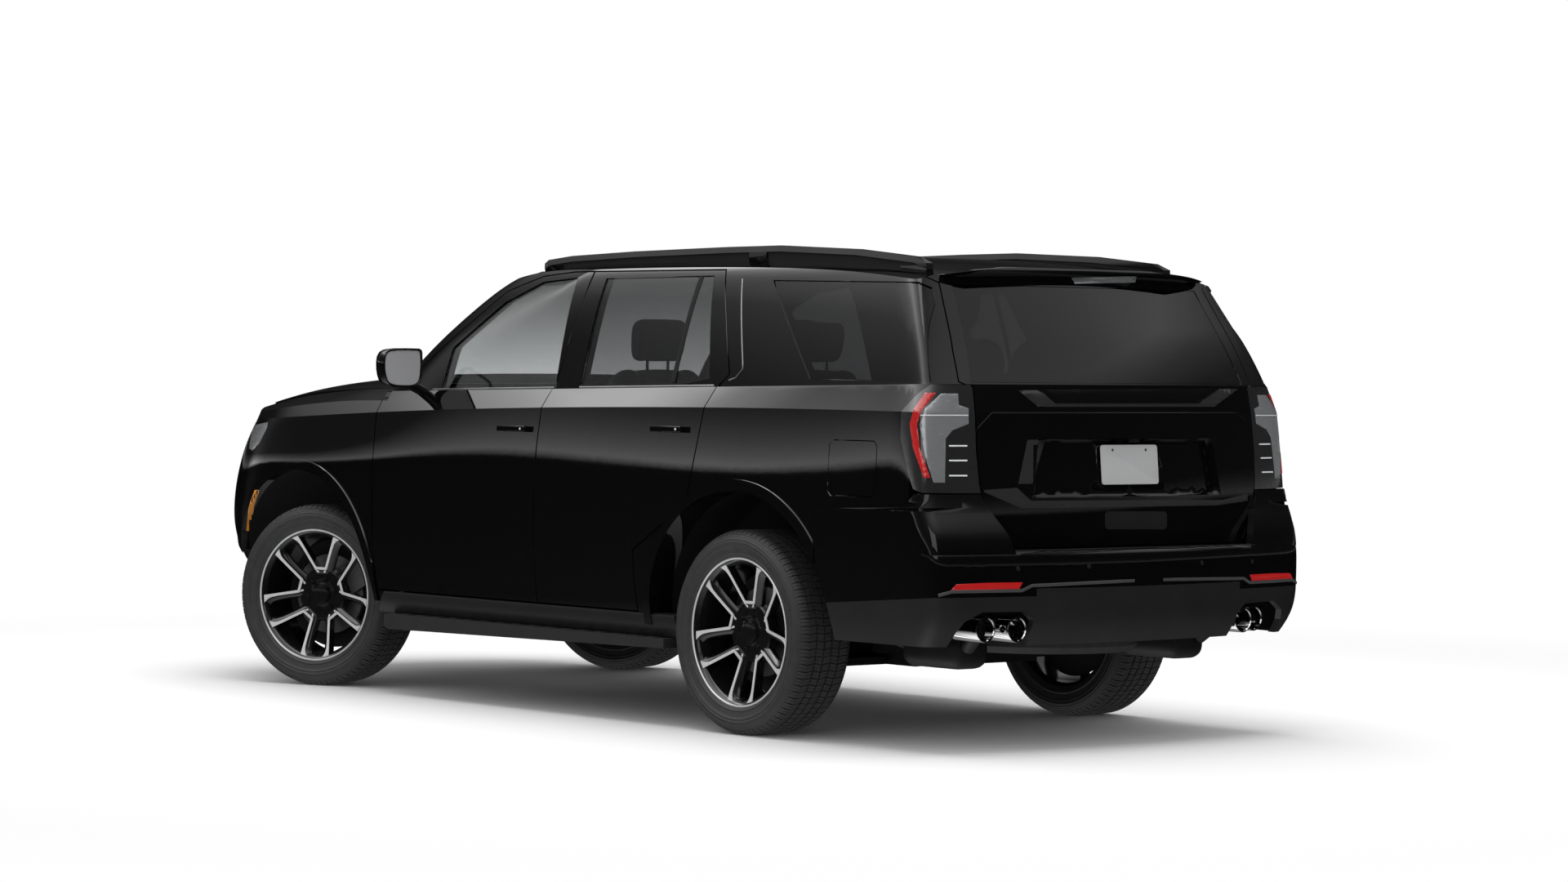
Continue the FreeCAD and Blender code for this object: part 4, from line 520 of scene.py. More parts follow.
class Skin:
    """A smooth surface over rows of control points, in metres."""

    def __init__(self, rows, degree, halves=True):
        self.net = np.array(rows, float) * MM
        self.degree = degree
        self.halves = halves
        u, v = np.meshgrid(np.linspace(0, 1, 150), np.linspace(0, 1, 40))
        self.seeds = np.stack([u.ravel(), v.ravel()], 1)
        points = self.at(self.seeds)
        self.low, self.high = points.min(0) - 0.02, points.max(0) + 0.02
        self.tree = KDTree(len(points))
        for number, point in enumerate(points):
            self.tree.insert(point, number)
        self.tree.balance()

    def at(self, uv):
        """The points at pairs of parameters."""
        rows, columns = self.net.shape[:2]
        across = weights(columns, 3, uv[:, 0])
        up = weights(rows, self.degree, uv[:, 1])
        return np.einsum("nr,nrx->nx", up, np.einsum("nc,rcx->nrx", across, self.net, optimize=True))

    def slopes(self, uv, step=1e-4):
        """How the surface runs with each parameter."""
        found = []
        for axis in (0, 1):
            low, high = uv.copy(), uv.copy()
            low[:, axis] = np.clip(uv[:, axis] - step, 0, 1 - 1e-6)
            high[:, axis] = np.clip(uv[:, axis] + step, 0, 1 - 1e-6)
            found.append((self.at(high) - self.at(low)) / (high - low)[:, axis:axis + 1])
        return found

    def nearest(self, points):
        """For each point, its distance from the surface and the surface's normal there."""
        flipped = points.copy()
        if self.halves:
            flipped[:, 1] = abs(points[:, 1])
        distance = np.full(len(points), 9.0)
        normal = np.zeros((len(points), 3))
        inside = np.all((flipped > self.low) & (flipped < self.high), 1)
        chosen = np.nonzero(inside)[0]
        if not len(chosen):
            return distance, normal
        target = flipped[chosen]
        uv = self.seeds[[self.tree.find(p)[1] for p in target]].copy()
        for _ in range(7):
            away = target - self.at(uv)
            du, dv = self.slopes(uv)
            a, b, c = (du * du).sum(1), (du * dv).sum(1), (dv * dv).sum(1)
            p, q = (du * away).sum(1), (dv * away).sum(1)
            room = np.maximum(a * c - b * b, 1e-12)
            move = np.stack([(c * p - b * q) / room, (a * q - b * p) / room], 1)
            uv = np.clip(uv + np.clip(move, -0.03, 0.03), 0, 1 - 1e-6)
        du, dv = self.slopes(uv)
        found = np.cross(du, dv)
        found /= np.maximum(np.linalg.norm(found, axis=1), 1e-12)[:, None]
        distance[chosen] = np.linalg.norm(target - self.at(uv), axis=1)
        if self.halves:
            found[:, 1] *= np.where(points[chosen, 1] < 0, -1, 1)
        normal[chosen] = found
        return distance, normal


def flat(height):
    """A level ring."""
    return lambda x: height


def belt(drop=0.0):
    """The belt line."""
    return lambda x: BELT - BELT_SLOPE * x - drop


def crease(x):
    """The shoulder crease, an arc that falls towards the nose."""
    return BELT - 74 - 0.0263 * x - 7.8e-6 * x * x


def low_ring(height, tail, tail_half, rear, middle, front, nose, round_nose, short, inset=0.0):
    """Half a plan view of the lower body."""
    back, tip = -HALF_LENGTH + tail + inset, HALF_LENGTH - nose - inset
    rear_y, middle_y, front_y = [HALF_WIDTH - w - inset for w in (rear, middle, front)]
    corner = tail_half - inset
    plan = [
        (back, 0), (back, 250), (back + 70, 700), (back + 112, corner - 62), (back + 150, corner),
        (back + 270, corner + 3), (REAR_AXLE, rear_y), (-100, middle_y), (900, middle_y - 2),
        (FRONT_AXLE, front_y), (tip - 590 * short, front_y - 10),
        (tip - 400 * short, (975 - inset) * round_nose),
        (tip - 235, (850 - inset) * round_nose), (tip - 80, 560 * round_nose), (tip, 250), (tip, 0),
    ]
    return [(x, y, height(x)) for x, y in plan]


LOW_RINGS = [
    (flat(520), 74, 985, 18, 16, 18, 86, 0.98, 1.0),
    (flat(640), 69, 990, 6, 4, 8, 4, 1.0, 1.0),
    (flat(800), 70, 992, -2, 0, 1, -2, 1.0, 1.0),
    (flat(950), 76, 990, -1, 0, 3, 36, 1.0, 1.0),
    (flat(1080), 87, 986, 7, 6, 12, 105, 0.98, 0.9),
    (crease, 108, 976, 20, 17, 36, 176, 0.96, 0.85),
]
SHOULDER_RINGS = [
    LOW_RINGS[-1],
    (belt(), 127, 938, 68, 65, 92, 196, 0.91, 0.85),
    (belt(-90), 146, 884, 122, 119, 152, 226, 0.85, 0.85),
]
BUMPER_RINGS = [
    (flat(404), 66, 962, 48, 44, 50, 206, 0.93, 0.95),
    (flat(460), 24, 975, 26, 24, 30, 206, 0.95, 0.95),
    (flat(540), 0, 986, 12, 10, 16, 86, 0.98, 1.0),
    (flat(640), 0, 990, 2, 0, 4, 4, 1.0, 1.0),
    (flat(725), 2, 992, -3, -3, -2, 0, 1.0, 1.0),
    (flat(762), 10, 993, -5, -3, -2, -2, 1.0, 1.0),
    (flat(775), 62, 993, -5, -3, -2, -2, 1.0, 1.0),
    (flat(860), 68, 994, -5, -3, -2, 10, 1.0, 1.0),
    (flat(1000), 78, 992, -4, -3, 0, 60, 1.0, 1.0),
]


def top_ring(level, slope, tail, drop, tail_half, rear, middle, post_x, post_y, glass_x, inset=0.0):
    """Half a plan view of the cabin above the belt."""
    back, side = -HALF_LENGTH + tail + inset, tail_half - inset
    post, glass = FRONT_AXLE + post_x - inset, FRONT_AXLE + glass_x - inset
    plan = [
        (back, 0), (back, 230), (back + drop * 0.6, 620), (back + drop, side - 38), (back + drop + 25, side),
        (back + drop + 90, side), (REAR_AXLE, rear - inset), (-100, middle - inset),
        (post - 560, middle - 4 - inset), (post - 250, post_y + (middle - post_y) * 0.62 - inset),
        (post - 30, post_y + 22 - inset), (post + 30, post_y - 60 - inset),
        (post + (glass - post) * 0.75, post_y * 0.5), (glass, 230), (glass, 0),
    ]
    return [(x, y, level - slope * x) for x, y in plan]


CABIN_RINGS = [
    (1481, 0.013, 204, 95, 890, 902, 908, -684, 842, -556),
    (1676, 0.006, 330, 70, 832, 844, 850, -957, 772, -826),
    (1800, 0.0, 410, 50, 790, 798, 800, -1170, 722, -1060),
    (1856, 0.0, 448, 45, 760, 768, 770, -1370, 692, -1290),
    (1920, 0.0, 480, 40, 700, 708, 710, -1640, 630, -1560),
]
ROOF_STATIONS = [(-HALF_LENGTH - 200, CROWN - 110), (-HALF_LENGTH + 300, CROWN - 72),
                 (-HALF_LENGTH + 900, CROWN - 14),
                 (-900, CROWN + 2), (0, CROWN - 2), (360, CROWN - 26), (700, CROWN - 110),
                 (1400, CROWN - 420)]
ROOF_DROPS = [(250, 0), (600, 14), (800, 60), (1200, 160)]
HOOD_STATIONS = [(900, 1402), (1150, 1398), (1450, 1386), (1900, 1350), (2250, 1290), (2420, 1246),
                 (2560, 1170),
                 (2900, 980)]
HOOD_DROPS = [(250, 0), (560, 6), (760, 26), (900, 88), (1200, 240)]


def body_skin(inset=0.0, foot=400):
    """The body side from the sill to the crease."""
    rings = [(flat(foot), 84, 965, 50, 46, 50, 206, 0.93, 0.95)] + LOW_RINGS
    return Skin([low_ring(*ring, inset) for ring in rings], 3)


def shoulder_skin(inset=0.0):
    """The shoulder above the crease."""
    return Skin([low_ring(*ring, inset) for ring in SHOULDER_RINGS], 1)


def bumper_skin():
    """The rear bumper."""
    return Skin([low_ring(*ring) for ring in BUMPER_RINGS], 2)


def cabin_skin(inset=0.0, drop=6.0):
    """The cabin above the belt."""
    foot = (BELT - drop, BELT_SLOPE, 141, 105, 926, 942, 946, -500, 868, -376)
    return Skin([top_ring(*ring, inset) for ring in [foot] + CABIN_RINGS], 2)


def crowned(stations, drops, drop=0.0):
    """A crowned panel over the whole width."""
    rows = []
    for x, height in stations:
        half = [(x, y, height - fall - drop) for y, fall in drops]
        rows.append([(x, -y, z) for _, y, z in half[::-1]] + [(x, 0, height - drop)] + half)
    return Skin(rows, 2, halves=False)


SKINS = {
    "body": body_skin,
    "lip": lambda: body_skin(-9, 402),
    "shoulder": shoulder_skin,
    "cabin": cabin_skin,
    "pane": lambda: cabin_skin(6),
    "pane_back": lambda: cabin_skin(11, 9),
    "rear_pane": lambda: cabin_skin(2.7),
    "rear_pane_back": lambda: cabin_skin(7.7, 9),
    "roof": lambda: crowned(ROOF_STATIONS, ROOF_DROPS),
    "roof_under": lambda: crowned(ROOF_STATIONS, ROOF_DROPS, 46),
    "hood": lambda: crowned(HOOD_STATIONS, HOOD_DROPS),
    "bumper": bumper_skin,
    "grille": lambda: body_skin(-3),
}
MADE_SKINS = {}


def skin(name):
    """The skin of that name, made once."""
    if name not in MADE_SKINS:
        MADE_SKINS[name] = SKINS[name]()
    return MADE_SKINS[name]


# Panels: copies of the construction's own faces, shaded as the smooth skins that they follow.

# A face lies on a skin when its corners' distances from it, in metres, add up to less than SKIN_REACH,
# each is less than CORNER_REACH, and the two normals agree to SKIN_AGREE.
SKIN_REACH = 0.0036
CORNER_REACH = 0.0014
SKIN_AGREE = 0.9
PANEL_SHARP = 28


def follow_skins(mesh, names):
    """Sets the normals of the faces that lie on a skin, and says which those are."""
    count = len(mesh.vertices)
    points = np.empty(count * 3)
    mesh.vertices.foreach_get("co", points)
    points = points.reshape(-1, 3)
    faces = np.array([list(p.vertices)[:3] for p in mesh.polygons])
    flat_normals = np.array([tuple(p.normal) for p in mesh.polygons])
    corners = np.array([tuple(n.vector) for n in mesh.corner_normals]).reshape(-1, 3, 3)
    best = np.full(len(faces), SKIN_REACH)
    for name in names:
        distance, normal = skin(name).nearest(points)
        own = normal[faces]
        agree = (own * flat_normals[:, None]).sum(2)
        close = (distance[faces].sum(1) < best) & (distance[faces].max(1) < CORNER_REACH)
        use = close & (abs(agree).min(1) > SKIN_AGREE)
        corners[use] = own[use] * np.sign(agree[use])[:, :, None]
        best[use] = distance[faces][use].sum(1)
    mesh.normals_split_custom_set(corners.reshape(-1, 3))
    return best < SKIN_REACH


def copied(node, cut_by=()):
    """A merged copy of a construction piece's mesh, cut along planes of (place, normal)."""
    source = frame["nodes"][node]
    bm = bmesh.new()
    bm.from_mesh(source.data)
    bmesh.ops.remove_doubles(bm, verts=bm.verts, dist=2e-6)
    bmesh.ops.dissolve_degenerate(bm, edges=bm.edges, dist=1e-6)
    for place, normal in cut_by:
        geometry = bm.verts[:] + bm.edges[:] + bm.faces[:]
        bmesh.ops.bisect_plane(bm, geom=geometry, plane_co=place, plane_no=normal, dist=1e-6)
    bmesh.ops.triangulate(bm, faces=bm.faces)
    return mesh_of(node + "_shape", bm)


ALWAYS_INSIDE = 2


def panel(node, names, outside, inside, choose=None, cut_by=(), label="panel", reshape=None):
    """A body panel: outside is the finish of its skin, inside that of the faces that choose picks.

    A face on the skin stays outside, unless choose says ALWAYS_INSIDE.
    """
    mesh = copied(node, cut_by)
    if reshape:
        reshape(mesh)
    smoothed(mesh, PANEL_SHARP)
    on_skin = follow_skins(mesh, names)
    for kind in (outside, inside):
        mesh.materials.append(finish(kind))
    for polygon in mesh.polygons:
        inner = choose(polygon) if choose else False
        polygon.material_index = int(inner == ALWAYS_INSIDE or (bool(inner) and not on_skin[polygon.index]))
    return settle(placed(f"{node}_{label}", mesh), BODY_OF[node], (node,))


def faces_in(polygon):
    """Whether a face of a body side or door looks into the cabin."""
    side = 1 if polygon.center.y > 0 else -1
    return polygon.normal.y * side < -0.25


def faces_down(polygon):
    """Whether a face of the roof or hood looks down."""
    return polygon.normal.z < -0.3


def faces_forward(polygon):
    """Whether a face of the liftgate looks into the load space."""
    return polygon.normal.x > 0.3


# Places on the vehicle, found by looking at it.

TREES = {}


def tree_of(node):
    """A search tree of a construction piece's faces."""
    if node not in TREES:
        mesh = frame["nodes"][node].data
        points = [v.co.copy() for v in mesh.vertices]
        TREES[node] = BVHTree.FromPolygons(points, [tuple(p.vertices) for p in mesh.polygons])
    return TREES[node]


def look(nodes, start, way):
    """The first place on the pieces along a line of sight, and its normal towards the eye."""
    start, way = Vector(start), Vector(way).normalized()
    best = None
    for node in nodes:
        place, normal, _, distance = tree_of(node).ray_cast(start, way)
        if place is not None and (best is None or distance < best[2]):
            best = (place, normal if normal.dot(way) < 0 else -normal, distance)
    return best[:2] if best else None


def camera_axes():
    """The camera's directions: ahead, to the right and up."""
    ahead = Vector((math.cos(CAMERA_YAW) * math.cos(CAMERA_PITCH),
                    math.sin(CAMERA_YAW) * math.cos(CAMERA_PITCH),
                    math.sin(CAMERA_PITCH)))
    level = Vector((math.sin(CAMERA_YAW), -math.cos(CAMERA_YAW), 0))
    above = level.cross(ahead)
    right = level * math.cos(CAMERA_ROLL) + above * math.sin(CAMERA_ROLL)
    up = above * math.cos(CAMERA_ROLL) - level * math.sin(CAMERA_ROLL)
    return ahead, right, up


def from_camera(nodes):
    """Sees places by their pixel in the picture."""
    ahead, right, up = camera_axes()

    def seen(px, py):
        way = ahead * FOCAL_PIXELS + right * (px - PICTURE[0] / 2) - up * (py - PICTURE[1] / 2)
        return look(nodes, CAMERA_PLACE, way)
    return seen


def from_side(nodes, side=1):
    """Sees places on one side by their x and z, in millimetres."""
    return lambda x, z: look(nodes, (x * MM, side * 2.0, z * MM), (0, -side, 0))


def from_behind(nodes):
    """Sees places on the tail by their y and z, in millimetres."""
    return lambda y, z: look(nodes, (-4.0, y * MM, z * MM), (1, 0, 0))


def from_ahead(nodes):
    """Sees places on the nose by their y and z, in millimetres."""
    return lambda y, z: look(nodes, (4.0, y * MM, z * MM), (-1, 0, 0))


# The enlarged tail was cut from the photograph at this pixel.
TAIL_CORNER = (1080, 440)
TAIL_SCALE = 3.267


def tail(points):
    """Pixels of the photograph from places in its enlarged tail."""
    return [(TAIL_CORNER[0] + x / TAIL_SCALE, TAIL_CORNER[1] + y / TAIL_SCALE) for x, y in points]


def resampled(points, step, closed=False):
    """The outline with more points along its edges."""
    count = len(points)
    found = []
    for i in range(count if closed else count - 1):
        (x0, y0), (x1, y1) = points[i], points[(i + 1) % count]
        parts = max(1, math.ceil(math.hypot(x1 - x0, y1 - y0) / step))
        found += [(x0 + (x1 - x0) * k / parts, y0 + (y1 - y0) * k / parts) for k in range(parts)]
    return found if closed else found + [points[-1]]


def round_outline(x, y, radius, count):
    """A round outline."""
    return [(x + radius * math.cos(a), y + radius * math.sin(a)) for a in turns(count)]


def mirrored(bm):
    """The piece moved to the other side."""
    for v in bm.verts:
        v.co.y = -v.co.y
    return bm


def patch(outline, sight, step, lift, sink=0.0015, edge=0.4):
    """A thin plate over the part of the vehicle inside an outline, as seen by sight.

    It rises by lift from the surface, by that times edge at its rim, and goes into it by sink.
    """
    flat_mesh = bmesh.new()
    rim = resampled(outline, step, True)
    flat_mesh.faces.new([flat_mesh.verts.new((x, y, 0)) for x, y in rim])
    bmesh.ops.triangulate(flat_mesh, faces=flat_mesh.faces)
    for axis in (0, 1):
        low, high = min(p[axis] for p in rim), max(p[axis] for p in rim)
        normal = (1, 0, 0) if axis == 0 else (0, 1, 0)
        for k in range(1, int((high - low) / step) + 1):
            place = tuple((low + k * step) * n for n in normal)
            geometry = flat_mesh.verts[:] + flat_mesh.edges[:] + flat_mesh.faces[:]
            bmesh.ops.bisect_plane(flat_mesh, geom=geometry, plane_co=place, plane_no=normal,
                                   dist=step * 0.05)
    flat_mesh.verts.index_update()
    bm = bmesh.new()
    top, bottom = {}, {}
    for v in flat_mesh.verts:
        found = sight(v.co.x, v.co.y)
        if found is None:
            continue
        place, normal = found
        rise = lift * (edge if v.is_boundary else 1.0)
        top[v.index] = bm.verts.new(place + normal * rise)
        bottom[v.index] = bm.verts.new(place - normal * sink)
    for face in flat_mesh.faces:
        numbers = [v.index for v in face.verts]
        if all(n in top for n in numbers):
            bm.faces.new([top[n] for n in numbers])
            bm.faces.new([bottom[n] for n in numbers[::-1]])
    for rim_edge in flat_mesh.edges:
        a, b = (v.index for v in rim_edge.verts)
        if rim_edge.is_boundary and a in top and b in top:
            bm.faces.new([top[a], top[b], bottom[b], bottom[a]])
    flat_mesh.free()
    return bm


def strip(points, sight, step, width, height, sink=0.001):
    """A rounded strip along a path on the vehicle, as seen by sight."""
    found = [sight(x, y) for x, y in resampled(points, step)]
    found = [f for f in found if f is not None]
    shape = [(-0.5, -sink), (-0.5, height * 0.55), (-0.28, height), (0.28, height), (0.5, height * 0.55),
             (0.5, -sink)]
    bm = bmesh.new()
    if len(found) < 2:
        return bm
    rings = []
    for i, (place, normal) in enumerate(found):
        before, after = found[max(i - 1, 0)][0], found[min(i + 1, len(found) - 1)][0]
        along = (after - before).normalized()
        across = along.cross(normal).normalized()
        up = across.cross(along).normalized()
        if up.dot(normal) < 0:
            up = -up
        rings.append([place + across * (s * width) + up * h for s, h in shape])
    lofted(bm, rings)
    return bm


def merge(*parts):
    """Several meshes as one."""
    bm = parts[0]
    for part in parts[1:]:
        mesh = mesh_of("joined", part)
        bm.from_mesh(mesh)
        bpy.data.meshes.remove(mesh)
    return bm


def both_sides(name, build, kind, bodies=("body", "body")):
    """A piece on the left and its mirror image on the right."""
    for side, body in zip(("left", "right"), bodies):
        bm = build()
        make(f"{name}_{side}", mirrored(bm) if side == "right" else bm, [kind], body)


def seen_rays(tree):
    """1 for what the camera sees directly, in mirrors or through glass, else 0."""
    path = tree.nodes.new("ShaderNodeLightPath")
    total = path.outputs["Is Camera Ray"]
    for ray in ("Is Glossy Ray", "Is Transmission Ray"):
        total = worked_out(tree, "MAXIMUM", total, path.outputs[ray])
    return total


# The studio that the paint reflects: how bright it is at each height angle, in degrees.
STUDIO = [(-90, 0.95), (-52, 0.85), (-30, 0.3), (-16, 0.03), (3.8, 0.012), (3.92, 1.0), (4.7, 0.45),
          (5.7, 0.08),
          (12, 0.05), (21, 0.12), (27, 0.4), (32, 1.1), (38, 2.6), (48, 2.2), (90, 1.1)]
# Its share at each bearing, in degrees from the vehicle's nose round by its left side.
STUDIO_BEARINGS = [(-180, 0.3), (-60, 0.3), (0, 0.35), (12, 0.35), (15, 0.7), (17.5, 1.9), (20, 3.2),
                   (26, 1.3), (32, 0.8), (42, 1.6), (180, 0.3)]
TENT_RADIUS = 40.0
FLOOR_RADIUS = 90.0
# The floor goes over into plain white between these distances from the vehicle's middle.
FLOOR_FADE = (3.6, 7.0)
# How bright the world is for what is neither seen nor mirrored, and for what is.
WORLD_LEVELS = (0.62, 1.0)
# Each lamp's place, size and power. Both look at LAMP_TARGET.
LAMPS = {"ceiling": ((0, 0, 7.0), (9.0, 6.0), 420.0), "fill": ((-9, 8, 4.0), (5, 3), 60.0)}
LAMP_TARGET = Vector((0, 0, 0.8))


def ramp_colour(tree, value, levels):
    """The grey level of a value, from pairs of place and level."""
    ramp = tree.nodes.new("ShaderNodeValToRGB")
    tree.links.new(value, ramp.inputs["Fac"])
    stops = ramp.color_ramp.elements
    while len(stops) < len(levels):
        stops.new(0.5)
    for stop, (place, level) in zip(stops, levels):
        stop.position = place
        stop.color = (level, level, level, 1)
    return ramp.outputs["Color"]


class DRESS_OT_stage(bpy.types.Operator):
    """Makes the white floor, the lamps, the studio that the paint reflects and the camera"""
    bl_idname = "dress.stage"
    bl_label = "Stage"

    def execute(self, context):
        scene = context.scene
        scene.view_settings.view_transform = "Standard"
        self.make_world(scene)
        self.make_floor()
        self.make_tent()
        self.make_lamps()
        self.make_camera(scene)
        return {"FINISHED"}

    def make_world(self, scene):
        """White to the camera, in mirrors and through glass, and a plain level for the rest."""
        world = bpy.data.worlds.new("studio")
        scene.world = world
        world.use_nodes = True
        tree = world.node_tree
        background = tree.nodes["Background"]
        background.inputs["Color"].default_value = (1, 1, 1, 1)
        level = ranged(tree, seen_rays(tree), target=WORLD_LEVELS)
        tree.links.new(level, background.inputs["Strength"])

    def make_floor(self):
        """A white floor that keeps the vehicle's shadow."""
        bm = bmesh.new()
        bmesh.ops.create_circle(bm, cap_ends=True, segments=96, radius=FLOOR_RADIUS)
        mesh = mesh_of("floor", bm)
        floor = placed("floor", mesh)
        material, tree, principled, where = shader("floor_white")
        vary(tree, grain(tree, where, 0.8), principled, (1.0, 1.0, 1.0), 0.004)
        set_inputs(principled, Roughness=1.0, Specular_IOR_Level=0.0)
        length = tree.nodes.new("ShaderNodeVectorMath")
        length.operation = "LENGTH"
        tree.links.new(where, length.inputs[0])
        far = ranged(tree, length.outputs["Value"], FLOOR_FADE, smooth=True)
        share = worked_out(tree, "MULTIPLY", far, seen_rays(tree))
        white = tree.nodes.new("ShaderNodeEmission")
        mix = tree.nodes.new("ShaderNodeMixShader")
        tree.links.new(share, mix.inputs[0])
        tree.links.new(principled.outputs[0], mix.inputs[1])
        tree.links.new(white.outputs[0], mix.inputs[2])
        tree.links.new(mix.outputs[0], tree.nodes["Material Output"].inputs["Surface"])
        mesh.materials.append(material)
        floor.visible_glossy = False

    def make_tent(self):
        """Dark studio walls under a pale ceiling, which only reflections show."""
        bm = bmesh.new()
        bmesh.ops.create_uvsphere(bm, u_segments=64, v_segments=48, radius=TENT_RADIUS)
        mesh = mesh_of("tent", bm)
        tent = placed("tent", mesh)
        material = bpy.data.materials.new("tent_cloth")
        material.use_nodes = True
        tree = material.node_tree
        tree.nodes.clear()
        where = tree.nodes.new("ShaderNodeTexCoord")
        split = tree.nodes.new("ShaderNodeSeparateXYZ")
        tree.links.new(where.outputs["Object"], split.inputs["Vector"])
        height = ranged(tree, split.outputs["Z"], (-TENT_RADIUS, TENT_RADIUS))
        levels = [((math.sin(math.radians(angle)) + 1) / 2, level) for angle, level in STUDIO]
        bearing = worked_out(tree, "ARCTAN2", split.outputs["Y"], split.outputs["X"])
        turn = ranged(tree, bearing, (-math.pi, math.pi))
        shares = [(angle / 360 + 0.5, level) for angle, level in STUDIO_BEARINGS]
        glow = tree.nodes.new("ShaderNodeEmission")
        tree.links.new(ramp_colour(tree, height, levels), glow.inputs["Color"])
        tree.links.new(ramp_colour(tree, turn, shares), glow.inputs["Strength"])
        out = tree.nodes.new("ShaderNodeOutputMaterial")
        tree.links.new(glow.outputs["Emission"], out.inputs["Surface"])
        mesh.materials.append(material)
        tent.visible_camera = False
        tent.visible_diffuse = False
        tent.visible_transmission = False
        tent.visible_shadow = False
        tent.visible_volume_scatter = False

    def make_lamps(self):
        """One soft lamp over the vehicle and a weak one on the camera's side."""
        for name, (place, size, power) in LAMPS.items():
            light = bpy.data.lights.new(name, "AREA")
            light.shape = "RECTANGLE"
            light.size, light.size_y = size
            light.energy = power
            lamp = placed(name, light)
            lamp.location = place
            lamp.rotation_mode = "QUATERNION"
            lamp.rotation_quaternion = (LAMP_TARGET - lamp.location).to_track_quat("-Z", "Y")
            lamp.visible_camera = False

    def make_camera(self, scene):
        """The photograph's own viewpoint."""
        data = bpy.data.cameras.new("camera")
        data.sensor_width = SENSOR
        data.lens = FOCAL_PIXELS * SENSOR / PICTURE[0]
        data.clip_end = 400.0
        camera = placed("camera", data)
        ahead, right, up = camera_axes()
        camera.matrix_world = placing(right, up, -ahead, CAMERA_PLACE)
        scene.camera = camera


# The rear bumper's corners: plan views by height, where each row starts and ends, and how high each row is.
CORNER_RINGS = [
    (flat(752), 6, 994, -6.5, -4, -2, -2, 1.0, 1.0),
    (flat(800), 12, 995, -6.5, -4, -2, -2, 1.0, 1.0),
    (flat(860), 34, 995, -6.5, -4, -2, 10, 1.0, 1.0),
    (flat(930), 64, 995, -6.0, -3, 0, 30, 1.0, 1.0),
    (flat(974), 74, 993, -6.0, -3, 0, 60, 1.0, 1.0),
]
CORNER_INNER = [(752, 632), (815, 652), (947, 728), (974, 738)]
CORNER_END = [(752, -1880), (912, -1880), (913.5, -2344), (947, -2401), (974, -2424)]
CORNER_ROWS = (0.0, 0.08, 0.17, 0.27, 0.38, 0.49, 0.6, 0.7, 0.715, 0.722, 0.735, 0.8, 0.9, 1.0)
CORNER_WALL = 0.03
# The paint's lower edge: a line in x and z along the side, then a height across the middle, out to the step.
VALANCE_SIDE = ((-1953, 547), (-2533, 592))
VALANCE_REAR = 621
VALANCE_STEP = 545
SKID_TOP = 0.56
# The plate pad in metres: its reach from the middle, its heights, its nearness to the skin, how far it sinks.
PAD_HALF = 0.1656
PAD_HEIGHTS = (0.9985, 1.1675)
PAD_NEAR = 0.014
PAD_SINK = 0.0245


def sink_pad(mesh):
    """Lowers the plate's pad towards the floor of its recess."""
    for v in mesh.vertices:
        if abs(v.co.y) < PAD_HALF and PAD_HEIGHTS[0] < v.co.z < PAD_HEIGHTS[1]:
            distance, _ = skin("body").nearest(np.array([v.co]))
            if distance[0] < PAD_NEAR:
                v.co.x += PAD_SINK


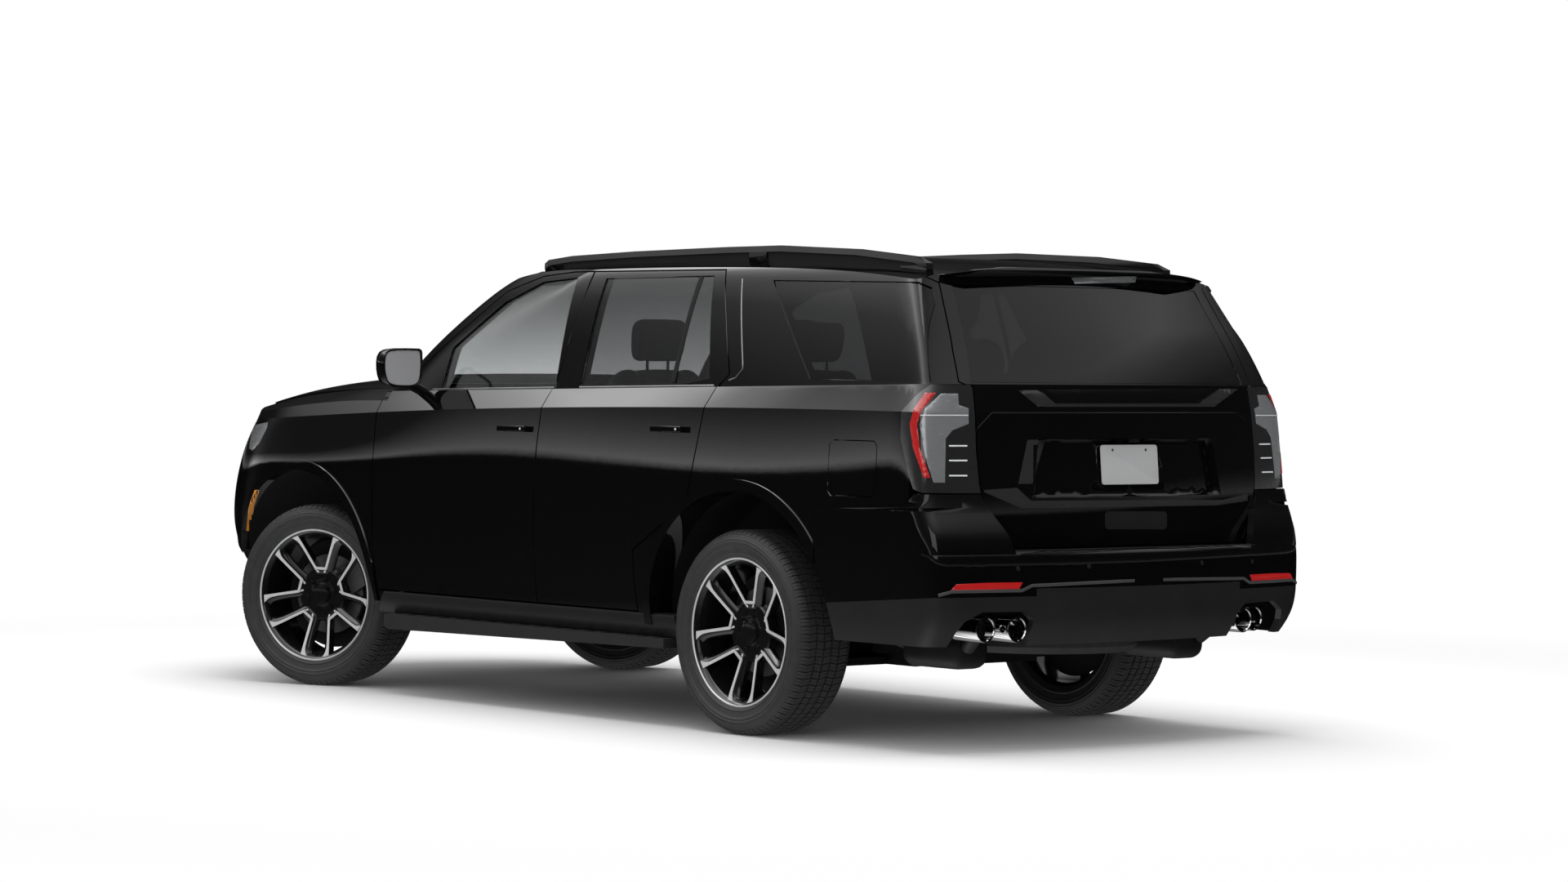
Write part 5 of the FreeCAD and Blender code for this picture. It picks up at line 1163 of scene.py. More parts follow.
class DRESS_OT_panels(bpy.types.Operator):
    """Paints the body panels, shaded as the smooth skins that they follow"""
    bl_idname = "dress.panels"
    bl_label = "Body panels"

    def execute(self, context):
        doors = ["body", "shoulder", "cabin", "roof"]
        for side in ("left", "right"):
            for row in ("front", "rear"):
                panel(f"{row}_door_{side}", doors, "paint", "cabin", faces_in)
        panel("body_sides", doors + ["lip"], "paint", "cabin", faces_in)
        panel("front_fenders", ["body", "shoulder", "hood", "lip"], "paint", "underbody", faces_in)
        panel("hood", ["hood", "shoulder"], "paint", "underbody", faces_down)
        panel("roof_panel", ["roof", "cabin", "roof_under"], "paint", "headliner", faces_down)
        panel("liftgate", ["body", "shoulder", "cabin", "roof"], "paint", "cabin", faces_forward,
              reshape=sink_pad)
        panel("fuel_flap", ["body"], "paint", "underbody", faces_in)
        self.rear_bumper()
        self.front_bumper()
        return {"FINISHED"}

    def rear_bumper(self):
        """The painted cover over a dark valance."""
        (x0, z0), (x1, z1) = VALANCE_SIDE
        slope = (z1 - z0) / (x1 - x0)
        side_plane = (Vector((x0, 0, z0)) * MM, Vector((-slope, 0, 1)).normalized())
        rear_plane = (Vector((0, 0, VALANCE_REAR)) * MM, Vector((0, 0, 1)))

        def low(polygon):
            centre = polygon.center
            if polygon.normal.x > 0.5 or (centre.x > -2.4 and polygon.normal.y * centre.y < -0.3):
                return ALWAYS_INSIDE
            line = min(z0 + slope * (centre.x / MM - x0), z1)
            limit = VALANCE_REAR if abs(centre.y) / MM < VALANCE_STEP else line
            return ALWAYS_INSIDE if centre.z / MM < limit else 0
        steps = [(Vector((0, s * VALANCE_STEP, 0)) * MM, Vector((0, 1, 0))) for s in (-1, 1)]
        flat_plane = (Vector((0, 0, z1)) * MM, Vector((0, 0, 1)))
        planes = (side_plane, rear_plane, flat_plane, *steps)
        panel("rear_bumper", ["bumper"], "paint", "valance", low, planes)
        self.corners()

    def corners(self):
        """The bumper's corners, which rise from its step to the lamps."""
        form = Skin([low_ring(*ring) for ring in CORNER_RINGS], 2)

        def build():
            bm = bmesh.new()
            front, back = [], []
            for v in CORNER_ROWS:
                u = np.linspace(0.02, 0.6, 900)
                line = form.at(np.stack([u, np.full(len(u), v)], 1))
                height = line[:, 2].mean() / MM
                inner = np.interp(height, *zip(*CORNER_INNER)) * MM
                end = np.interp(height, *zip(*CORNER_END)) * MM
                keep = line[(line[:, 1] > inner) & (line[:, 0] < end)]
                run = np.concatenate([[0], np.cumsum(np.linalg.norm(np.diff(keep, axis=0), axis=1))])
                spots = np.linspace(0, run[-1], 60)
                row = np.stack([np.interp(spots, run, keep[:, axis]) for axis in range(3)], 1)
                way = np.gradient(row, axis=0)
                inward = np.stack([-way[:, 1], way[:, 0], 0 * way[:, 0]], 1)
                inward /= np.linalg.norm(inward, axis=1)[:, None]
                inward *= np.where((inward @ np.array([1.0, -1.0, 0]))[:, None] < 0, -1, 1)
                front.append([bm.verts.new(p) for p in row])
                back.append([bm.verts.new(p) for p in row + inward * CORNER_WALL])

            def sheet(a, b, turn=1):
                for i in range(len(a) - 1):
                    bm.faces.new([a[i], a[i + 1], b[i + 1], b[i]][::turn])
            for rows, turn in ((front, 1), (back, -1)):
                for a, b in zip(rows, rows[1:]):
                    sheet(a, b, turn)
            edges = [[row[0] for row in front], [row[-1] for row in front], front[0], front[-1]]
            others = [[row[0] for row in back], [row[-1] for row in back], back[0], back[-1]]
            for edge, other in zip(edges, others):
                sheet(edge, other)
            return bm
        both_sides("bumper_corner", build, "paint")

    def front_bumper(self):
        """The painted cover over a dark skid."""
        plane = (Vector((0, 0, SKID_TOP)), Vector((0, 0, 1)))
        panel("front_bumper", ["body", "lip"], "paint", "valance",
              lambda p: ALWAYS_INSIDE if p.center.z < SKID_TOP or p.normal.x < -0.5 else 0, (plane,))


class DRESS_OT_glass(bpy.types.Operator):
    """Glazes the windows"""
    bl_idname = "dress.glass"
    bl_label = "Glass"

    def execute(self, context):
        pane = ["pane", "pane_back"]
        for side in ("left", "right"):
            for kind in ("front_glass", "rear_glass"):
                panel(f"{kind}_{side}", pane, kind, kind)
        panel("rear_window", ["rear_pane", "rear_pane_back"], "dark_glass", "dark_glass")
        panel("fixed_glass", pane, "dark_glass", "front_glass",
              lambda p: ALWAYS_INSIDE if p.center.x > 0 else 0)
        return {"FINISHED"}


def axle_place(name, side):
    """A wheel's place: its centre, with its own Z axis outwards and its own Y axis up."""
    joint = JOINTS[name]
    out = Vector(joint["axis"]).normalized() * side
    up = Vector((0, 0, 1))
    return placing(up.cross(out), up, out, joint["pos_m"])


# The wheel in millimetres, seen from outside. Profiles are pairs of radius and distance outwards.
# Five pairs of spokes stand round five V-shaped windows. An arm of a V runs from V_FOOT to V_TIP.
V_FOOT = (24.0, 122.0)
V_TIP = (99.0, 266.0)
SPOKES = 5
LUGS = 6
LUG_CIRCLE = 70
LUG_TURN = 12
TYRE_RADIUS = 402.0
# The spokes' face stands at FACE_START on the circle FACE_RADIUS and moves out by FACE_RISE with the radius.
FACE_START, FACE_RADIUS, FACE_RISE = 66, 115, 0.27
BARREL = [(279, 98), (279, -100), (293, -106), (293, -116), (281, -116), (266, -96), (266, 100)]
LIP = [(285.5, 112), (293, 112), (293, 119), (291, 121), (287, 121), (285.5, 119)]
SHOULDER = [(279, 92), (292, 108), (292, 113), (286, 116), (279, 112), (270, 102), (266, 92)]
TYRE_LINE = [
    (281, 100), (287, 110), (293, 118), (298, 124), (304, 126), (306, 129), (309, 129), (311, 127),
    (326, 132),
    (338, 134.8), (339, 136.6), (341, 136.6), (342, 135.3), (350, 137), (351, 138), (355, 138), (356, 137),
    (364, 136), (365, 137), (367, 136.5), (368, 135), (373, 133), (374, 134), (376, 133), (377, 131),
    (381, 127), (382, 127.6), (384, 125.5), (385, 122.5), (390, 114), (393, 106), (394, 96), (394, 0),
]


HUB = [(36.2, -57), (36.2, 45), (2, 46), (2, 62), (40, 62), (46, 58), (70, 55), (112, 58), (118, 52),
       (118, 20),
       (82, 8), (82, -57)]
CAP = [(0.5, 62), (0.5, 73.5), (30, 73.5), (41, 71), (44, 66), (44, 60)]
CAP_RING = [(44.5, 60), (44.5, 66.5), (47.5, 66.5), (48.5, 60)]
LUG = [(0.5, 52), (0.5, 69), (7.5, 69), (10.5, 64), (10.5, 52)]
DISC = [(84, -7), (176, -7), (178, -9), (178, -31), (176, -33), (84, -33)]
VALVE = [(0.5, 0), (0.5, 22), (4, 22), (4, 0)]
VALVE_PLACE = (0, -262, 84)
SHIELD = [(98, -44), (150, -46), (236, -46), (240, -44), (240, -49), (98, -49)]
# Each profile of the rim with its steps round the wheel and its finish.
RIM_RINGS = [(BARREL, 120, 0), (LIP, 120, 1), (SHOULDER, 120, 0), (HUB, 60, 0), (CAP, 48, 0),
             (CAP_RING, 48, 0),
             (DISC, 96, 2)]
# Along a spoke: how far from the V's foot to its tip, the dark face's width, and how much wider the line is.
SPOKE_STATIONS = [(-0.16, 36, 0.6), (0.0, 34, 1.0), (0.2, 33, 1.0), (0.4, 33, 1.0), (0.6, 34, 1.0),
                  (0.76, 37, 1.15), (0.86, 42, 1.6), (0.94, 50, 2.4), (1.03, 62, 3.6)]


def v_line(t, mirror):
    """A point along one arm of the V, from its foot to its tip."""
    x = V_FOOT[0] + (V_TIP[0] - V_FOOT[0]) * t
    y = V_FOOT[1] + (V_TIP[1] - V_FOOT[1]) * t
    return x * mirror, y


def rim_face(x, y):
    """How far out the spokes' face stands."""
    return FACE_START + (math.hypot(x, y) - FACE_RADIUS) * FACE_RISE


class DRESS_OT_wheels(bpy.types.Operator):
    """Makes the rims, brake discs and tyres"""
    bl_idname = "dress.wheels"
    bl_label = "Wheels"

    def execute(self, context):
        for end in ("front", "rear"):
            for side, sign in (("left", 1), ("right", -1)):
                name = f"{end}_wheel_{side}"
                place = axle_place(f"{name}_spin", sign) @ Matrix.Scale(MM, 4)
                self.rim(f"rim_{end}_{side}", name, place)
                self.tyre(f"tyre_{end}_{side}", name, place)
                bm = bmesh.new()
                spun(bm, SHIELD, 64, place)
                carrier = f"knuckle_{side}" if end == "front" else "body"
                make(f"brake_shield_{end}_{side}", bm, ["chassis"], carrier)
        return {"FINISHED"}

    def rim(self, node, body, place):
        """Barrel, lip, hub, lugs, spokes with their machined lines, and the brake disc."""
        bm = bmesh.new()
        for profile, steps, material in RIM_RINGS:
            spun(bm, profile, steps, place, material)
        for number in range(SPOKES):
            turned = place @ Matrix.Rotation(math.radians(360 / SPOKES * number), 4, "Z")
            for mirror in (-1, 1):
                self.spoke(bm, turned, mirror)
            self.v_foot(bm, turned)
        for number in range(LUGS):
            angle = math.radians(360 / LUGS * number + LUG_TURN)
            nut = place @ Matrix.Translation((LUG_CIRCLE * math.cos(angle), LUG_CIRCLE * math.sin(angle), 0))
            spun(bm, LUG, 6, nut)
        spun(bm, VALVE, 12, place @ Matrix.Translation(VALVE_PLACE), 3)
        make(f"{body}_rim", bm, ["rim_black", "machined", "brake_disc", "rubber"], body, (node,))

    def spoke(self, bm, place, mirror):
        """One spoke: a bright line beside the V window, and a dark face that falls away from it."""
        line = sizes().rim_line / MM
        across = Vector(((V_TIP[1] - V_FOOT[1]) * mirror, V_FOOT[0] - V_TIP[0], 0)).normalized()
        dark, bright = [], []
        for t, width, flare in SPOKE_STATIONS:
            x, y = v_line(t, mirror)
            face = rim_face(x, y)
            along = Vector((x, y, 0))

            def at(offset, height):
                return place @ (along + across * offset + Vector((0, 0, height)))
            w = line * flare
            bright.append([at(0, face - 3), at(0, face), at(w, face), at(w + 0.8, face - 3)])
            dark.append([at(-1.5, face - 34), at(-0.8, face - 2.5), at(w + 1.0, face - 2.5),
                         at(width * 0.75, face - 9), at(width, face - 20), at(width * 0.8, face - 44),
                         at(4, face - 46)])
        lofted(bm, bright, 1)
        lofted(bm, dark, 0)

    def v_foot(self, bm, place):
        """The short bright bar that closes a V window at the hub."""
        x, y = V_FOOT
        line = sizes().rim_line / MM
        face = rim_face(x, y)

        def at(px, py, height):
            return place @ Vector((px, py, height))
        bright, dark = [], []
        for side in (-1, 1):
            reach = side * (x + line * 0.7)
            bright.append([at(side * x, y, face - 3), at(side * x, y, face), at(reach, y - line, face),
                           at(reach, y - line - 0.8, face - 3)])
            dark.append([at(side * (x + 6), y + 1.5, face - 34), at(side * x, y + 0.8, face - 2.5),
                         at(reach, y - line - 1, face - 2.5), at(reach, y - line - 22, face - 14),
                         at(reach, y - line - 22, face - 44)])
        lofted(bm, bright, 1)
        lofted(bm, dark, 0)

    def tyre(self, node, body, place):
        """The carcass and its tread."""
        bm = bmesh.new()
        spun(bm, TYRE_LINE + [(r, -z) for r, z in TYRE_LINE[-2::-1]], 160, place)
        make(f"{body}_tyre", bm, ["tyre"], body, (node,), sharp=50)
        settle(self.tread(f"{body}_tread", place), body)

    def tread(self, name, place):
        """One pitch of tread blocks, set round the tyre by Geometry Nodes."""
        depth = sizes().tread_depth / MM
        count = sizes().tread_pitches
        pitch = 2 * math.pi * TYRE_RADIUS / count
        bm = bmesh.new()
        ribs = [(-97, -62), (-55, -22), (-16, 16), (22, 55), (62, 97)]
        for number, (low, high) in enumerate(ribs):
            slant = 3.5 if number % 2 else -3.5
            half = pitch * 0.43
            for part in (-1, 1):
                near, far = sorted((part * 0.6, part * half))
                outline = [(low, near + slant), (high, near - slant), (high, far - slant), (low, far + slant)]
                prism(bm, outline, TYRE_RADIUS - depth - 2, TYRE_RADIUS - 0.3)
        for side in (-1, 1):
            shoulder = [(97, 401), (106, 398.5), (118, 392), (124, 385.5), (120, 384), (108, 390), (97, 393)]
            for part in (-1, 1):
                near, far = sorted((part * 0.8, part * pitch * 0.4))
                rings = [[(side * z, y, r) for z, r in shoulder] for y in (near, far)]
                lofted(bm, [[Vector(p) for p in ring] for ring in rings])
        bmesh.ops.recalc_face_normals(bm, faces=bm.faces)
        block = placed(name + "_pitch", mesh_of(name + "_pitch", bm))
        tree = ring_tree(name + "_nodes", finish("tyre"))
        host = placed(name, bpy.data.meshes.new(name))
        modifier = host.modifiers.new("tread", "NODES")
        modifier.node_group = tree
        names = {item.name: item.identifier for item in tree.interface.items_tree if item.in_out == "INPUT"}
        modifier[names["Pitch"]] = block
        modifier[names["Count"]] = count
        graph = bpy.context.evaluated_depsgraph_get()
        made = bpy.data.meshes.new_from_object(host.evaluated_get(graph))
        host.modifiers.remove(modifier)
        host.data = made
        bpy.data.objects.remove(block)
        made.transform(place @ placing((0, 0, -1), (0, 1, 0), (1, 0, 0), (0, 0, 0)))
        smoothed(made, 30)
        return host


def ring_tree(name, material):
    """A node tree that sets copies of an object evenly round its own X axis."""
    tree = bpy.data.node_groups.new(name, "GeometryNodeTree")
    tree.interface.new_socket("Pitch", in_out="INPUT", socket_type="NodeSocketObject")
    tree.interface.new_socket("Count", in_out="INPUT", socket_type="NodeSocketInt")
    tree.interface.new_socket("Geometry", in_out="OUTPUT", socket_type="NodeSocketGeometry")
    add, link = tree.nodes.new, tree.links.new
    given, result = add("NodeGroupInput"), add("NodeGroupOutput")
    line = add("GeometryNodeMeshLine")
    line.inputs["Offset"].default_value = (0, 0, 0)
    link(given.outputs["Count"], line.inputs["Count"])
    piece = add("GeometryNodeObjectInfo")
    link(given.outputs["Pitch"], piece.inputs["Object"])
    step = add("ShaderNodeMath")
    step.operation = "DIVIDE"
    step.inputs[0].default_value = 2 * math.pi
    link(given.outputs["Count"], step.inputs[1])
    index = add("GeometryNodeInputIndex")
    turn = add("ShaderNodeMath")
    turn.operation = "MULTIPLY"
    link(index.outputs["Index"], turn.inputs[0])
    link(step.outputs[0], turn.inputs[1])
    rotation = add("ShaderNodeCombineXYZ")
    link(turn.outputs[0], rotation.inputs["X"])
    copies = add("GeometryNodeInstanceOnPoints")
    link(line.outputs["Mesh"], copies.inputs["Points"])
    link(piece.outputs["Geometry"], copies.inputs["Instance"])
    link(rotation.outputs["Vector"], copies.inputs["Rotation"])
    real = add("GeometryNodeRealizeInstances")
    link(copies.outputs["Instances"], real.inputs["Geometry"])
    dress = add("GeometryNodeSetMaterial")
    dress.inputs["Material"].default_value = material
    link(real.outputs["Geometry"], dress.inputs["Geometry"])
    link(dress.outputs["Geometry"], result.inputs["Geometry"])
    return tree


# The left tail lamp's markings, as pixels of the photograph.
LAMP_RED = [(1133, 481), (1146, 481), (1128, 503), (1123, 519), (1126, 548), (1139, 585), (1131, 585),
            (1118, 548),
            (1114, 519), (1119, 501)]
LAMP_SILVER = [(1152, 482), (1173, 482), (1174, 496), (1186, 500), (1186, 519), (1166, 527), (1158, 537),
               (1157, 591),
               (1143, 591), (1133, 560), (1126, 520), (1133, 500)]
LAMP_LINE = [(1127, 508.5), (1185, 508.5)]
LAMP_BARS = [546, 564, 582.5]
LAMP_BAR_ENDS = (1162, 1184)


class DRESS_OT_tail_lamps(bpy.types.Operator):
    """Makes the tail lamps, the rear reflectors and the high lamp"""
    bl_idname = "dress.tail_lamps"
    bl_label = "Rear lamps"

    def execute(self, context):
        panel("tail_lamps", ["body", "shoulder"], "smoke", "smoke", label="housing")
        sight = from_camera(["tail_lamps"])
        both_sides("lamp_red", lambda: patch(LAMP_RED, sight, 3, 0.0022), "red_lens")
        both_sides("lamp_silver", lambda: patch(LAMP_SILVER, sight, 4, 0.0016), "reflector")
        both_sides("lamp_bars", lambda: self.bars(sight), "light_bar")
        reflectors = from_camera(["rear_bumper"])
        outline = tail([(275, 924), (297, 900), (420, 894), (562, 892), (548, 919), (420, 922)])
        both_sides("rear_reflector", lambda: patch(outline, reflectors, 4, 0.004), "red_lens")
        gate = from_camera(["liftgate"])
        high = [(1312, 340), (1392, 338.5), (1390, 346), (1316, 347.5)]
        make("high_lamp", patch(high, gate, 4, 0.002), ["reflector"], "liftgate")
        return {"FINISHED"}

    def bars(self, sight):
        """White lines across the lamp."""
        paths = [[(x, y) for x in LAMP_BAR_ENDS] for y in LAMP_BARS]
        return merge(strip(LAMP_LINE, sight, 5, 0.004, 0.0034),
                     *[strip(path, sight, 4, 0.0055, 0.003) for path in paths])


# The roof rail's top in millimetres.
RAIL_LINE_X = [-2110, -2040, -1700, -1240, -900, -300, 133, 300, 329]
RAIL_LINE_Z = [1846, 1872, 1905, 1925, 1923, 1913, 1899, 1884, 1868]
# A mirror housing seen from behind, in y and z.
MIRROR_OUTLINE = [
    (988, 1486), (992, 1496), (1002, 1501), (1060, 1502), (1120, 1501), (1160, 1497), (1178, 1488),
    (1188, 1472),
    (1192, 1446), (1191, 1410), (1185, 1380), (1176, 1357), (1160, 1342), (1130, 1335), (1080, 1333),
    (1040, 1334),
    (1012, 1341), (998, 1354), (990, 1380), (986, 1430),
]


def pair(name):
    """The left and right bodies of that name."""
    return (f"{name}_left", f"{name}_right")


def belt_height(x):
    """Height of the belt moulding's middle along the body side."""
    return BELT - BELT_SLOPE * x + 2


class DRESS_OT_side_trim(bpy.types.Operator):
    """Makes the mouldings, the painted highlights on the handles, side markers, running boards, roof rails and
    mirrors
    """
    bl_idname = "dress.side_trim"
    bl_label = "Side trim"

    def execute(self, context):
        self.mouldings()
        self.handles()
        self.markers()
        self.boards()
        self.rails()
        self.mirror_glass()
        return {"FINISHED"}

    def mouldings(self):
        """The bright strip under the side windows, one piece on each door and on the body."""
        width = sizes().moulding
        for door, ends in (("front_door", (FRONT_AXLE - 900, -128)), ("rear_door", (-300, -1235))):
            path = [(x, belt_height(x)) for x in ends]
            sight = from_side([f"{door}_left"])
            both_sides(f"{door}_moulding", lambda: strip(path, sight, 30, width, 0.003), "satin_bright",
                       pair(door))
        post = [(-908, 1800), (-904, 1345)]
        both_sides("rear_door_divider", lambda: strip(post, from_side(["rear_glass_left"]), 30, 0.026, 0.004),
                   "rubber", pair("rear_door"))
        side = from_side(["body_sides"])
        kick = [(-1262, 1385), (-1300, 1396), (-1330, 1432), (-1178, 1788)]
        both_sides("kick_moulding", lambda: strip(kick, side, 25, 0.009, 0.003), "satin_bright")

    def handles(self):
        """A small white dot behind each handle: a painted highlight where light glints on it."""
        for door, x, z in (("front_door", -18, 1172), ("rear_door", -1054, 1190)):
            sight = from_side([f"{door}_left"])
            # A white dot as the painted highlight on each handle.
            outline = round_outline(x, z, 5, 12)
            both_sides(f"{door}_handle_dot", lambda: patch(outline, sight, 4, 0.002), "light_bar",
                       pair(door))

    def markers(self):
        """The amber strips ahead of the front wheels."""
        outline = [(312, 600), (317.5, 600), (311, 621), (306, 650), (301.5, 650), (304.5, 621)]
        sight = from_camera(["front_fenders", "front_bumper"])
        both_sides("side_marker", lambda: patch(outline, sight, 3, 0.003), "amber_lens")

    def boards(self):
        """Dark running boards with rubber treads along their tops."""
        dress("running_boards", "board")
        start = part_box("running_boards")[0].x + 0.06
        count, pitch, length, foot, top = 16, 0.115, 0.085, 0.3505, 0.3545
        both_sides("sill_cladding", self.cladding, "valance")
        for side, sign in (("left", 1), ("right", -1)):
            bm = bmesh.new()
            inner, outer = sorted((sign * 0.9, sign * 1.0))
            for number in range(count):
                x = start + number * pitch
                rounded_box(bm, (x, inner, foot), (x + length, outer, top), 0.0012, 2)
            make(f"board_treads_{side}", bm, ["rubber"], "body")

    def cladding(self):
        """The satin sill panel under the doors."""
        bm = bmesh.new()
        section = [(0.905, 0.449), (0.972, 0.449), (0.986, 0.446), (0.988, 0.438), (0.978, 0.4),
                   (0.962, 0.362),
                   (0.952, 0.352), (0.905, 0.352)]
        rear, top = -1.0, section[0][1]
        rings = []
        for share in np.linspace(0, 1, 30):
            ring = []
            for y, z in section:
                front = 1.028 + (top - z) * 0.85
                ring.append(Vector((rear + (front - rear) * share, y, z)))
            rings.append(ring)
        lofted(bm, rings)
        return bm

    def rails(self):
        """Gloss black roof rails, closed down to the roof by a satin black wall that stands in for the shade in
        the gap under them.
        """
        panel("roof_rails", [], "gloss_black", "gloss_black")

        # A dark wall under each rail, standing in for the shade in the gap between rail and roof.
        def foot():
            bm = bmesh.new()
            rings = []
            for x in np.linspace(-2.07, 0.27, 60):
                top = np.interp(x / MM, RAIL_LINE_X, RAIL_LINE_Z) * MM - 0.014
                found = look(["roof_panel"], (x, 0.64, 3.0), (0, 0, -1))
                low = min(top - 0.002, (found[0].z if found else top) - 0.004)
                rings.append([Vector((x, y, z)) for y,
                              z in ((0.628, low), (0.628, top), (0.65, top), (0.65, low))])
            lofted(bm, rings)
            return bm
        both_sides("rail_foot", foot, "satin_black")

    def mirror_glass(self):
        """The mirrors: a rounded housing, its glass and its arm."""
        for side in ("left", "right"):
            bm = bmesh.new()
            centre = Vector((1.092, 1.42))

            def ring(x, scale):
                return [Vector((x, centre.x + (y * MM - centre.x) * scale,
                                centre.y + (z * MM - centre.y) * scale))
                        for y, z in MIRROR_OUTLINE]
            shape = [(0.7605, 0.9), (0.7515, 0.93), (0.7525, 0.975), (0.76, 1.0), (0.785, 1.0), (0.81, 0.96),
                     (0.83, 0.86), (0.8395, 0.7), (0.842, 0.5)]
            lofted(bm, [ring(x, scale) for x, scale in shape], 0)
            lofted(bm, [ring(x, scale) for x, scale in ((0.7598, 0.885), (0.757, 0.885), (0.7565, 0.88))], 1)
            arm = [((0.795, 1.07, 1.36), 0.034, 0.02), ((0.797, 1.02, 1.345), 0.034, 0.02),
                   ((0.8, 0.975, 1.325), 0.034, 0.019), ((0.8, 0.942, 1.31), 0.034, 0.018)]
            rings = []
            for (x, y, z), half, tall in arm:
                rings.append([Vector((x + half * math.copysign(abs(math.cos(a)) ** 0.6, math.cos(a)), y,
                                      z + tall * math.copysign(abs(math.sin(a)) ** 0.6, math.sin(a))))
                              for a in turns(20)])
            lofted(bm, rings, 2)
            if side == "right":
                mirrored(bm)
            make(f"mirror_housing_{side}", bm, ["paint", "mirror", "gloss_black"], f"front_door_{side}",
                 (f"mirror_{side}",), sharp=40)


# The liftgate's patches: outline in the enlarged tail, lift, the rim's share of the lift, and finish.
GATE_PATCHES = [
    ("gate_strip", [(545, 124), (1425, 118), (1330, 190), (625, 190)], 0.006, 0.1, "dark_grey"),
    ("gate_inlay", [(625, 122), (1345, 118), (1262, 178), (690, 178)], 0.0085, 0.75, "gloss_black"),
    # The wall and the shelf are dark grey on the black gate: painted highlights where light falls on them.
    ("gate_wall", [(582, 322), (652, 322), (602, 498), (545, 498)], 0.0015, 0.2, "dark_grey"),
    ("gate_shelf", [(392, 524), (540, 514), (596, 566), (1362, 562), (1462, 538), (1462, 566), (1340, 584),
                    (560, 597)],
     0.0015, 0.2, "dark_grey"),
    ("gate_handle", [(892, 618), (900, 608), (1130, 608), (1140, 618), (1140, 668), (1130, 680), (900, 680),
                     (892, 668)], 0.0012, 0.9, "satin_black"),
]


class DRESS_OT_gate_details(bpy.types.Operator):
    """Makes the liftgate's strip, crease, painted highlights on its wall and shelf, plate, handle and camera"""
    bl_idname = "dress.gate_details"
    bl_label = "Liftgate details"

    def execute(self, context):
        sight = from_camera(["liftgate"])
        for name, outline, lift, edge, kind in GATE_PATCHES:
            make(name, patch(tail(outline), sight, 6, lift, edge=edge), [kind], "liftgate")
        line = tail([(372, 290), (440, 216), (1418, 216), (1452, 250)])
        make("gate_crease", strip(line, sight, 6, 0.007, 0.0022), ["gloss_black"], "liftgate")
        self.plate()
        bm = bmesh.new()
        rounded_box(bm, (-2.556, -0.062, 1.166), (-2.512, -0.006, 1.19), 0.006, 3)
        make("rear_camera", bm, ["satin_black"], "liftgate")
        return {"FINISHED"}

    def plate(self):
        """A blank plate on its pad."""
        half, tall = sizes().plate_width / 2, sizes().plate_height
        top, foot = Vector((-2.5535, 0, 1.157)), Vector((-2.5675, 0, 1.157 - tall * 0.995))
        lean = (top - foot).normalized()
        out = Vector((-lean.z, 0, lean.x))
        middle = (top + foot) / 2
        place = placing((0, -1, 0), lean, out, middle)
        bm = bmesh.new()
        round_off = 0.012
        outline = []
        for start, sx, sy in ((0, 1, 1), (90, -1, 1), (180, -1, -1), (270, 1, -1)):
            for step in range(5):
                a = math.radians(start + 22.5 * step)
                outline.append((sx * (half - round_off) + round_off * math.cos(a),
                                sy * (tall / 2 - round_off) + round_off * math.sin(a)))
        prism(bm, outline, -0.001, 0.0022, place, 0.0012, 0.0008)
        for sx in (-1, 1):
            bolt = place @ Matrix.Translation((sx * 0.089, tall / 2 - 0.02, 0.002))
            spun(bm, [(0.0003, 0), (0.0003, 0.0022), (0.004, 0.0022), (0.0052, 0.0012), (0.0052, 0)], 16,
                 bolt, 1)
        make("plate_blank", bm, ["plate", "satin_bright"], "liftgate")


